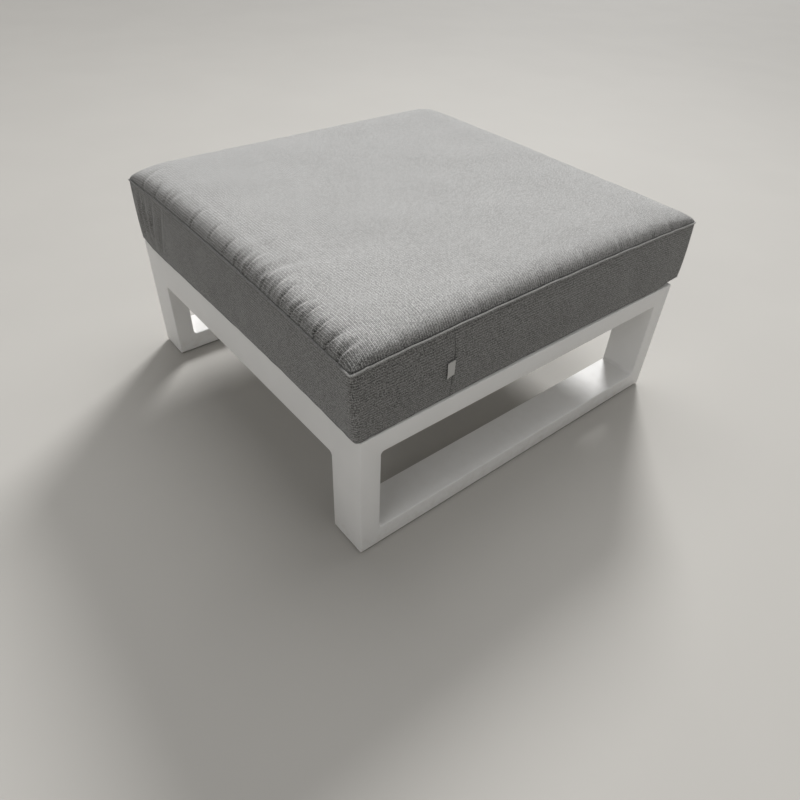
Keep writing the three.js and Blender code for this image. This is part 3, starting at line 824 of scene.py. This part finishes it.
def simulate(piece, frames=14):
    activate(piece)
    modifier = piece.modifiers.new("Cloth", "CLOTH")
    cloth = modifier.settings
    for name, value in cloth_settings.items():
        setattr(cloth, name, value)
    cloth.effector_weights.gravity = 0.0
    modifier.collision_settings.use_collision = False
    modifier.point_cache.frame_start, modifier.point_cache.frame_end = 1, frames
    for now in range(1, frames + 1):
        scene.frame_set(now)
    bpy.ops.object.modifier_apply(modifier="Cloth")


cap = 0.009
simulate(cushion)
moved = points_of(cushion) - form
reach = np.linalg.norm(moved, axis=1)
keep = np.tanh(reach / cap) * cap / np.maximum(reach, 1e-9)
keep *= np.where(on_base, 0, 1)
move_points(cushion, form + moved * keep[:, None])
print("cloth moved up to", round(float(reach.max()) * 1000, 1), "mm")
describe(cushion)

# %% [markdown]
# ## The slot for the zip
# The back strip is open along its middle: its folded edges lie flat and the cloth steps back
# between them, so that the zip has room. The rows of points stand close together there.

# %% Press the slot in
tape_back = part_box("zip_upper_tape")[0].y
strip_face = tape_back + 0.0036
slot_floor = tape_back - 0.0006
slot_reach = 0.2803
back_y = 0.38
settled = points_of(cushion)
from_zip = abs(settled[:, 2] - zip_level)
on_strip = (settled[:, 1] > back_y) * (drop > 0) * (drop < 1)
beside = ease(0.302, 0.286, abs(settled[:, 0])) * on_strip
flat_share = beside * ease(0.030, 0.012, from_zip)
in_slot = beside * (from_zip < 0.006) * (abs(settled[:, 0]) < slot_reach) > 0
target = np.where(in_slot, slot_floor, strip_face)
settled[:, 1] += (target - settled[:, 1]) * np.where(in_slot, 1, flat_share)
move_points(cushion, settled)
print("slot points:", int(in_slot.sum()))

# %% [markdown]
# ## Straight threads
# The map of the cloth is measured on the cloth itself, in metres: along each row of squares over
# the crown, and round the strip from its upright seam. So the threads neither stretch on the
# steep slopes nor break at the corners.

# %% How far each point is along the cloth
settled = points_of(cushion)


def measured(points):
    """How far each point is from the middle of its row, along the cloth."""
    steps = np.linalg.norm(np.diff(points, axis=1), axis=2)
    run = np.concatenate([np.zeros((len(points), 1)), np.cumsum(steps, axis=1)], axis=1)
    return run - run[:, [run.shape[1] // 2]]


map_x, map_y = x.copy(), y.copy()
for panel in (np.flatnonzero(on_top), np.flatnonzero(on_base)):
    order = panel[np.lexsort((u0[panel].round(4), v0[panel].round(4)))]
    order = order.reshape(squares_deep + 1, squares_wide + 1)
    map_x[order] = measured(settled[order])
    map_y[order] = measured(settled[order].transpose(1, 0, 2)).T

rim_row = np.flatnonzero(on_rim & on_top)
bearing = np.arctan2(v0, u0)
right_seam = rim_row[np.argmin(abs(y[rim_row] - seam_y) + (x[rim_row] < 0))]
round_it = (bearing - bearing[right_seam] + tiny) % math.tau
rim_row = rim_row[np.argsort(round_it[rim_row])]
steps = np.linalg.norm(np.diff(settled[rim_row], axis=0, append=settled[rim_row[:1]]), axis=1)
whole_run = float(steps.sum())
run_so_far = np.concatenate([[0], np.cumsum(steps)[:-1]])
strip_run = np.interp(round_it, round_it[rim_row], run_so_far)
print("the strip is", round(whole_run, 3), "m long")

# %% The map in metres, then a finer skin
for old in list(cushion.data.uv_layers):
    cushion.data.uv_layers.remove(old)
uv = cushion.data.uv_layers.new(name="weave")
loop_points = np.empty(len(cushion.data.loops), dtype=np.int64)
cushion.data.loops.foreach_get("vertex_index", loop_points)
weave = np.empty((len(loop_points), 2))
for face in cushion.data.polygons:
    slots = slice(face.loop_start, face.loop_start + face.loop_total)
    corners = loop_points[slots]
    if np.ptp(drop[corners]) < 0.001:
        weave[slots] = np.column_stack([map_x[corners], map_y[corners]])
    else:
        run = strip_run[corners]
        if np.ptp(run) > whole_run / 2:
            run = run + whole_run * (run < whole_run / 2)
        weave[slots] = np.column_stack([run, -drop[corners] * boxing_high])
uv.data.foreach_set("uv", weave.astype(np.float32).ravel())

kept = {"across": u, "along": v, "drop": drop, "from_x": gap_x, "from_y": gap_y}
for name, values in kept.items():
    numbers = cushion.data.attributes.new(name, "FLOAT", "POINT")
    numbers.data.foreach_set("value", values.astype(np.float32))
apply_modifier(cushion, "SUBSURF", levels=1, render_levels=1)


def by_front_seam(face):
    middle = face.calc_center_median()
    return middle.y < -0.345 and middle.z > base + 0.02


print("faces made finer:", open_with(cushion, "FACE", by_front_seam))
bpy.ops.mesh.subdivide(number_cuts=1, smoothness=1.0)
close_edit()
activate(cushion)
bpy.ops.object.shade_smooth()
describe(cushion)

# %% [markdown]
# ## Puckers
# Where the panel is eased onto a shorter strip the spare cloth stands in small folds that start
# at the seam and run out on the crown. They are strongest along the front seam. Each fold is a
# soft groove with its own place, length, depth and slant, pressed into the finer skin.

# %% How a fold is made
chance = np.random.default_rng(7)


def kept_numbers(name):
    values = np.empty(len(cushion.data.vertices), dtype=np.float32)
    cushion.data.attributes[name].data.foreach_get("value", values)
    return values.astype(float)


def groove(offset, lips):
    """A soft groove between two low lips, by the distance from its middle in half widths."""
    return hump(offset) - lips * hump(abs(offset) - 1.7)


def folds(run, distance, places, depth, reach, width, spread=0.6, tilt=1.0):
    """Grooves that start at a seam, each with one steep side: how far each point sinks."""
    sink = np.zeros(len(run))
    for place in places:
        far = reach * chance.uniform(1 - spread, 1 + spread)
        slant = chance.uniform(-0.1, 0.35)
        wide = width * chance.uniform(0.75, 1.3)
        deep = depth * chance.uniform(1 - spread, 1 + spread)
        t = np.clip(distance / far, 0, 1)
        fade = np.minimum(1, t / 0.12) ** 0.7 * (1 - t) ** 1.2
        offset = (run - place - slant * distance) / (wide * (0.5 + 0.8 * t))
        sink += deep * fade * groove(offset * np.where(offset > 0, tilt, 1), 0.45)
    return sink


def spaced(low, high, step):
    places = np.arange(low, high, step)
    return places + chance.uniform(-0.42, 0.42, len(places)) * step


# %% Press the folds in
skin = points_of(cushion)
away = points_of(cushion, "normal")
across, along, below, from_x, from_y = map(kept_numbers, kept)
top_skin = below < 0.02
front_skin = top_skin & (along < 0)
strip = (below > 0.001) & (below < 0.999)
front_back = (skin[:, 0], from_y)
left_right = (skin[:, 1], from_x)
creases = [-0.115, -0.045, 0.01, 0.052, 0.087, 0.145, 0.173]
creases += [0.2, 0.235, 0.262, 0.302, 0.333, 0.366]
sink = np.zeros(len(skin))
sink += front_skin * folds(*front_back, spaced(-0.33, -0.15, 0.045), 0.0013, 0.04, 0.007)
sink += front_skin * folds(*front_back, creases, 0.0040, 0.043, 0.0068, 0.4, 1.7)
for where, seam, places, sizes in (
    (front_skin, front_back, (-0.36, 0.37, 0.085), (0.0018, 0.10, 0.018)),
    (top_skin & (across > 0), left_right, (-0.34, 0.36, 0.062), (0.0012, 0.035, 0.010)),
    (top_skin & (across < 0), left_right, (-0.34, 0.36, 0.05), (0.0018, 0.045, 0.010)),
    (top_skin & (along > 0), front_back, (-0.34, 0.36, 0.05), (0.0018, 0.045, 0.010)),
):
    sink += where * folds(*seam, spaced(*places), *sizes)

# Wrinkles stand in the strip beside the front left corner: where, how slanted, how deep.
wrinkles = [(-0.355, 0.12, 0.0034), (-0.325, -0.1, 0.0024)]
wrinkles += [(-0.30, 0.2, 0.0032), (-0.262, 0.3, 0.0024)]
rise_now = skin[:, 2] - base
bulge = np.sin(np.clip(below, 0, 1) * np.pi)
for place, slant, deep in wrinkles:
    offset = (skin[:, 0] - place - slant * (rise_now - 0.07)) / 0.008
    here = strip & (from_y < tiny) & (along < 0)
    sink += here * deep * bulge**0.8 * groove(offset, 0.4)
print("deepest fold:", round(float(sink.max()) * 1000, 1), "mm")

# %% Slow swells and the upright seams
# The wadding is never quite even, so the top swells a little here and there.
inner = top_skin * ease(0, 0.08, np.minimum(from_x, from_y))
for wave in range(9):
    heading = chance.uniform(0, math.tau)
    pace = math.tau / chance.uniform(0.11, 0.34)
    run = skin[:, 0] * math.cos(heading) + skin[:, 1] * math.sin(heading)
    sink += inner * 0.00042 * np.sin(run * pace + chance.uniform(0, math.tau))

# The strip does too, except at the back where the zip lies.
for wave in range(7):
    pace = math.tau / chance.uniform(0.07, 0.22)
    run = skin[:, 0] - skin[:, 1] + rise_now * chance.uniform(-0.6, 0.6)
    share = bulge * (skin[:, 1] < 0.37)
    sink += strip * share * 0.00035 * np.sin(run * pace + chance.uniform(0, math.tau))

# The upright seams are narrow grooves between two soft lips.
for side in (-1, 1):
    here = strip & (from_x < tiny) & (across * side > 0)
    offset = skin[:, 1] - seam_y + 0.0012 * np.sin(rise_now * 55)
    lips = 0.0007 * hump((abs(offset) - 0.004) / 0.0022)
    sink += here * (0.0016 * hump(offset / 0.0013) - lips)
skin = skin - away * sink[:, None]
move_points(cushion, skin)
describe(cushion)

# %% [markdown]
# ## Seam ridges
# Inside each seam the two edges of cloth are folded back, and they push the seam out as a thin
# ridge. A closed tube runs along the kept row of points, smoothed so that no corner sticks out.

# %% Ridges along the seams


def ridge_along(name, points, radius, cyclic=True, roundness=2):
    curve = bpy.data.curves.new(name, "CURVE")
    curve.dimensions = "3D"
    line = curve.splines.new("POLY")
    line.points.add(len(points) - 1)
    for knot, point in zip(line.points, points):
        knot.co = (*point, 1)
    line.use_cyclic_u = cyclic
    curve.bevel_depth = radius
    curve.bevel_resolution = roundness
    curve.use_fill_caps = True
    piece = bpy.data.objects.new(name, curve)
    scene.collection.objects.link(piece)
    activate(piece)
    bpy.ops.object.convert(target="MESH")
    bpy.ops.object.shade_smooth()
    return piece


def seam_loop(level_mask, outward, lift):
    """The points of one seam, in order round the cushion, moved outward and up."""
    index = np.flatnonzero(level_mask & (np.minimum(from_x, from_y) < tiny))
    order = np.argsort(np.arctan2(along[index], across[index]))
    points = skin[index[order]]
    for turn in range(3):
        points = (np.roll(points, 1, axis=0) + points * 2 + np.roll(points, -1, axis=0)) / 4
    middle = points * np.array([1, 1, 0])
    away_from_middle = middle / np.linalg.norm(middle, axis=1)[:, None]
    run = np.linspace(0, math.tau, len(points), endpoint=False)
    wobble = 0.00028 * (np.sin(run * 31 + 1) + np.sin(run * 53 + 4) + np.sin(run * 83))
    return points + away_from_middle * outward + np.outer(wobble + lift, [0, 0, 1])


top_ridge = ridge_along("top_seam_ridge", seam_loop(below < tiny, 0.0014, -0.0001), 0.0015)
base_ridge = ridge_along("base_seam_ridge", seam_loop(below > 1 - tiny, 0.0010, 0.0010), 0.0014)
describe(top_ridge)

# %% [markdown]
# ## The woven cover
# The cover is a plain weave of heathered yarn: each thread changes between light and dark grey
# along its length. Two waves that take turns lie over and under each other, and long thin noise
# along each thread gives the heather. Every second rib is a little paler, and painted shade
# darkens the gaps between the ribs, the low points of the threads and the seams. The map in
# metres keeps the threads straight on every panel. The top panel is painted paler as painted
# light, and the top ridge gets a painted highlight on the right-hand side, so a mask blends to
# paler yarn in those places.

# %% The weave's finish


def over_and_under(warp_run, weft_run):
    """Which thread lies on top, how high the cloth stands there, and the wave of the ribs."""
    wave_u, wave_v = (warp_run * math.pi).sine(), (weft_run * math.pi).sine()
    warp_up = (wave_u * wave_v).ramp(-0.3, 0.3)
    warp_hill, weft_hill = 1.0 - wave_v.size(), 1.0 - wave_u.size()
    warp_strand = (warp_run * math.tau).sine().size() * 0.4 + 0.6
    weft_strand = (weft_run * math.tau).sine().size() * 0.4 + 0.6
    warp_height = (1.0 - warp_hill**2) * warp_strand * 0.85
    height = warp_up * warp_height + (1.0 - warp_up) * (1.0 - weft_hill**2) * weft_strand
    return warp_up, height, wave_v


def woven(name, light, dark, pitch, source="UV", seams=None, paler=None):
    """Heathered cloth with painted shade; paler is where painted light makes it lighter, and its
    light and dark there.
    """
    soft = {"Sheen Weight": 0.5, "Sheen Roughness": 0.35, "Specular IOR Level": 0.2}
    cloth = Finish(name, soft)
    across, along, deep = cloth.split(source)
    if source == "Object":
        across, along = across + deep * 0.7, along + deep * 0.7
    waver = (cloth.noise((across, along, 1.0), 18.0) - 0.5) * (pitch * 1.2)
    warp_run, weft_run = (across + waver) / pitch, (along + waver) / pitch
    warp_up, height, wave_v = over_and_under(warp_run, weft_run)

    warp_thread, weft_thread = ((run * 2.0).floor() * 7.3 for run in (warp_run, weft_run))
    warp_tone = cloth.noise((warp_thread, along * 300, 0.0), 1.0, 1.0)
    weft_tone = cloth.noise((across * 260, weft_thread, 7.0), 1.0, 1.0)
    yarn = (warp_tone * warp_up + weft_tone * (1.0 - warp_up)).ramp(0.3, 0.7)
    fleck = cloth.noise((across * 0.6, along, 3.0), 750.0, 2.0, 0.6).ramp(0.36, 0.64)
    broad = cloth.noise((across, along, 5.0), 9.0)
    pairs = wave_v.ramp(-0.7, 0.7)
    heather = (yarn * 0.46 + fleck * 0.3 + pairs * 0.16 + broad * 0.08).ramp(0.14, 0.86)
    shade = cloth.blend(heather, dark, light)
    if paler:
        where, pale_light, pale_dark = paler
        shade = cloth.blend(where(cloth), shade, cloth.blend(heather, pale_dark, pale_light))
    # Painted shade darkens the low points of the threads, the gaps between the ribs and the seam
    # lines.
    rib_gap = 1.0 - wave_v.size().ramp(0.12, 0.75)
    painted_cavity_shade = ((1.0 - height) * 0.4).highest(rib_gap * 0.75)
    if seams:
        painted_cavity_shade = painted_cavity_shade.highest(seams(cloth))
    shade = cloth.blend(painted_cavity_shade, shade, tuple(c * 0.4 for c in dark))
    cloth.show(shade, 0.88 + fleck * 0.1)
    cloth.bump(height + fleck * 0.25, 0.0007, 0.9)
    return cloth


# %% Where the cloth gets painted shade or painted light


def painted_seam_shade(cloth):
    """Painted shade: near 1 in the strip's two upright seams and in the fold over the top seam, 0
    elsewhere.
    """
    x, y, z = cloth.split()
    bend = ((z - base) * 55.0).sine() * 0.0012
    line = 1.0 - (y - seam_y + bend).size().ramp(0.0005, 0.0014)
    on_side = x.size().over(0.38) * (1.0 - z.over(seam_top - 0.0005))
    over_seam = z - seam_top - (1.0 - x.ramp(-half_wide, 0.9 * half_wide)) * 0.003
    shade_over_seam = over_seam.ramp(0.0006, 0.0014) * (1.0 - over_seam.ramp(0.0026, 0.0042))
    return (line * on_side * 0.85).highest(shade_over_seam * 0.75)


def top_light_mask(cloth):
    """The top panel, painted paler as painted light, less so on the shaded wall over the front
    seam.
    """
    x, y, z = cloth.split()
    return (z + y.ramp(-0.42, -0.33) * 0.009).ramp(seam_top + 0.011, seam_top + 0.035)


def ridge_highlight_mask(cloth):
    """The right-hand side, where the ridge gets a painted highlight."""
    return cloth.split()[0].ramp(0.375, 0.392)


# %% Dress the cushion
# Painted light: the top panel's yarn is paler.
painted_top_light = (top_light_mask, (0.86, 0.856, 0.84), (0.335, 0.332, 0.324))
painted_ridge_highlight = (ridge_highlight_mask, (0.80, 0.795, 0.78), (0.52, 0.516, 0.50))
rib, fine_rib = 0.0024, 0.0012
tones = (0.46, 0.457, 0.444), (0.06, 0.059, 0.056)
cover = woven("grey_weave", *tones, rib, "UV", painted_seam_shade, painted_top_light)
tones = (0.50, 0.497, 0.485), (0.13, 0.129, 0.124)
trim = woven("grey_weave_trim", *tones, fine_rib, "Object")
# The top ridge's cloth, with a painted highlight on its right-hand side.
tones = (0.42, 0.417, 0.405), (0.11, 0.109, 0.105)
highlighted_ridge_weave = woven("grey_weave_painted_highlight", *tones, fine_rib, "Object", paler=painted_ridge_highlight)
dress(cushion, cover)
dress(base_ridge, trim)
dress(top_ridge, highlighted_ridge_weave)
for piece in (cushion, top_ridge, base_ridge):
    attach(piece, "cushion")
panels = ["cover_top_panel", "cover_bottom_panel", "cover_front_boxing", "cover_back_boxing"]
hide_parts(*panels, "fibre_wrap", "foam_core")
print("woven finishes:", [cloth.material.name for cloth in (cover, trim, highlighted_ridge_weave)])

# %% [markdown]
# ## The label tag
# A satin ribbon is folded in half and its ends are caught in the right-hand upright seam. The
# loop stands a little off the strip, more so at its lower corner. It bears no words.

# %% A folded ribbon
tag_low, tag_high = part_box("label_tag")
tag_long = tag_high.y - tag_low.y
tag_tall = tag_high.z - tag_low.z
tag_middle = (tag_low.z + tag_high.z) / 2
near_tag = strip & (across > 0) & (abs(skin[:, 1] - seam_y + 0.008) < 0.007)
near_tag &= abs(skin[:, 2] - tag_middle) < 0.02
tag_root = float(skin[near_tag, 0].max()) + 0.0009


def ribbon_at(turn, height):
    """Where the ribbon is, by its share of the way round the loop and up the tag."""
    gap = 0.0007
    out = 1 - abs(2 * turn - 1)
    side = -1 if turn < 0.5 else 1
    bend = min(1, (1 - out) / 0.06) ** 0.5
    flare = 0.0022 * out**1.7 * (1.25 - 0.6 * height)
    thick = gap * bend * side * (0.35 + 0.65 * out)
    sag = 0.0006 * math.sin(height * math.pi) * out
    return tag_root + flare + thick + sag, seam_y - out * tag_long, tag_low.z + height * tag_tall


tag = grid_piece("folded_tag", 44, 14, ribbon_at)
open_with(tag, "FACE")
face_outwards()
apply_modifier(tag, "SOLIDIFY", thickness=0.00035, offset=0)
smooth_by_angle(tag, 50)
describe(tag)

# %% The ribbon's finish
ribbon = Finish("tag_satin", {"Sheen Weight": 0.2, "Specular IOR Level": 0.35})
x_here, y_here, z_here = ribbon.split()
ribs = (z_here * (math.tau / 0.0006)).sine() * 0.5 + 0.5
edge_band = (z_here - tag_middle).size().ramp(tag_tall * 0.44, tag_tall * 0.47)
thread = ribbon.noise((y_here * 300.0, z_here * 2600.0, 0.0), 1.0)
ribbon_tone = ribbon.blend(thread, (0.46, 0.455, 0.44), (0.60, 0.593, 0.577))
ribbon_tone = ribbon.blend(edge_band * 0.35, ribbon_tone, (0.30, 0.297, 0.285))
ribbon.show(ribbon_tone, 0.55 + thread * 0.2)
ribbon.bump(ribs, 0.00008, 0.6)
dress(tag, ribbon)
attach(tag, "cushion")
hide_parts("label_tag")
print("the tag stands at", round(tag_root * 1000, 1), "mm")

# %% [markdown]
# ## The zip
# Each tape carries half of a nylon coil: one thread wound round and round, whose turns catch
# between those of the other half. The tapes are a thin, rippled woven strip, the coils
# are a curve in space, and the cloth beside them is folded under and stitched down.

# %% Tapes and coils
tape_low, tape_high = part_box("zip_lower_tape")[0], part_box("zip_upper_tape")[1]
tape_reach = tape_high.x
tape_wide = (tape_high.z - tape_low.z) / 2
tape_front = tape_back + 0.0006
half_gap = 0.0003
coil_reach = 0.28
coil_pitch = 0.0015


def zip_tape(name, side):
    def where(along, across):
        run = (along - 0.5) * 2 * tape_reach
        bead = 0.00012 * math.sin(across * math.pi * 7)
        wave = 0.00012 * math.sin(run * 90 + side)
        level = zip_level + side * (half_gap + across * (tape_wide - half_gap))
        return run, tape_back + 0.0003 + bead + wave, level

    piece = grid_piece(name, 120, 12, where)
    apply_modifier(piece, "SOLIDIFY", thickness=0.00045, offset=0)
    open_with(piece, "FACE")
    face_outwards()
    smooth_by_angle(piece, 50)
    return piece


def coil_half(name, side):
    steps = 8
    turns = int(2 * coil_reach / coil_pitch)
    turn_at = np.arange(turns * steps) / steps
    angle = turn_at * math.tau
    forward = -coil_reach + turn_at * coil_pitch + (coil_pitch / 2 if side > 0 else 0)
    level = zip_level + side * (0.0012 - 0.0015 * np.cos(angle))
    depth = tape_front + 0.0011 + 0.0009 * np.sin(angle)
    return ridge_along(name, np.column_stack([forward, depth, level]), 0.00034, False, 0)


tape_cloth = woven("zip_tape_weave", (0.115, 0.116, 0.12), (0.06, 0.061, 0.064), 0.0009, "Object")
dull_black = (0.10, 0.101, 0.104), (0.16, 0.161, 0.165)
nylon = grained("zip_nylon", 1500.0, 2.0, dull_black, (0.34, 0.2), {"Specular IOR Level": 0.5})[0]
for name, side in (("upper", 1), ("lower", -1)):
    tape = zip_tape(f"{name}_tape_strip", side)
    coil = coil_half(f"{name}_coil", side)
    dress(tape, tape_cloth)
    dress(coil, nylon)
    for piece in (tape, coil):
        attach(piece, "cushion")
    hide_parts(f"zip_{name}_tape")
describe(tape)
describe(coil)

# %% Folded edges and stitches beside the zip
slot_half = 0.0063
stitch_pitch, stitch_long, stitch_thick = 0.0042, 0.003, 0.00042


def slot_outline(reach, half, depth, steps=12):
    angles = np.linspace(-math.pi / 2, math.pi / 2, steps)
    right_end = np.column_stack([reach + half * np.cos(angles) * 0.5, half * np.sin(angles)])
    run, rise = np.vstack([right_end, -right_end]).T
    return np.column_stack([run, np.full(len(run), depth), zip_level + rise])


def row_of_stitches(name, level):
    deselect_all()
    count = int(2 * slot_reach / stitch_pitch)
    size = {"vertices": 6, "radius": stitch_thick, "depth": stitch_long}
    bpy.ops.mesh.primitive_cylinder_add(**size, location=(0, 0, 0))
    piece = named(name)
    piece.rotation_euler = (0, math.pi / 2, 0)
    apply_place(piece)
    open_with(piece, "FACE", lambda face: abs(face.normal.x) > 0.9)
    bpy.ops.mesh.inset(thickness=0.00018)
    close_edit()
    piece.location = (-(count - 1) * stitch_pitch / 2, strip_face + tiny, level)
    apply_place(piece)
    step = {"use_constant_offset": True, "constant_offset_displace": (stitch_pitch, 0, 0)}
    apply_modifier(piece, "ARRAY", count=count, use_relative_offset=False, **step)
    smooth_by_angle(piece, 50)
    return piece


lip_line = slot_outline(slot_reach - 0.002, slot_half + 0.0003, strip_face - 0.0006)
slot_lip = ridge_along("slot_lip", lip_line, 0.0009)
upper_stitches = row_of_stitches("upper_stitches", zip_level + slot_half + 0.0042)
lower_stitches = row_of_stitches("lower_stitches", zip_level - slot_half - 0.0042)
sewing_thread = Finish("sewing_thread", {"Sheen Weight": 0.3})
x_here, y_here, z_here = sewing_thread.split()
twist = ((x_here + z_here) * (math.tau / 0.0007)).sine() * 0.5 + 0.5
twisted = sewing_thread.blend(twist, (0.15, 0.148, 0.14), (0.27, 0.265, 0.25))
sewing_thread.show(twisted, 0.6 + twist * 0.2)
dress(slot_lip, trim)
for piece in (upper_stitches, lower_stitches):
    dress(piece, sewing_thread)
for piece in (slot_lip, upper_stitches, lower_stitches):
    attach(piece, "cushion")
describe(upper_stitches)

# %% Slider and pull, with their edges worn round
zinc = Finish("zip_zinc", {"Metallic": 1.0})
cast = zinc.noise(zinc.place(), 900.0, 3.0)
rub = zinc.noise(zinc.place(), 260.0, 3.0).ramp(0.45, 0.7)
zinc.show(zinc.blend(rub, (0.34, 0.34, 0.35), (0.52, 0.52, 0.525)), 0.26 + cast * 0.22)
zinc.bump(cast, 0.00005, 0.6)
for node in ("zip_slider", "zip_pull"):
    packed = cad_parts[node]
    place = packed.matrix_world.copy()
    piece = copy_of(packed, f"{node}_cast")
    piece.parent = None
    piece.matrix_world = place
    apply_place(piece)
    open_with(piece, "VERT")
    bpy.ops.mesh.remove_doubles(threshold=0.00001)
    bpy.ops.mesh.dissolve_limited(angle_limit=math.radians(2))
    face_outwards()
    apply_modifier(piece, "BEVEL", width=0.00016, segments=2, angle_limit=math.radians(40))
    smooth_by_angle(piece, 40)
    dress(piece, zinc)
    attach(piece, node)
    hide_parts(node)
    describe(piece)

# %% [markdown]
# ## The last check
# How far the dressed object grows past the imported model's size is printed for each axis.

# %% Sizes
visual_bounds = [list(map(float, corner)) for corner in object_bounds()]
for axis, name in enumerate("xyz"):
    grown = [visual_bounds[k][axis] - cad_bounds[k][axis] for k in (0, 1)]
    print(name, "grows by", [round(g * 1000, 1) for g in grown], "mm")
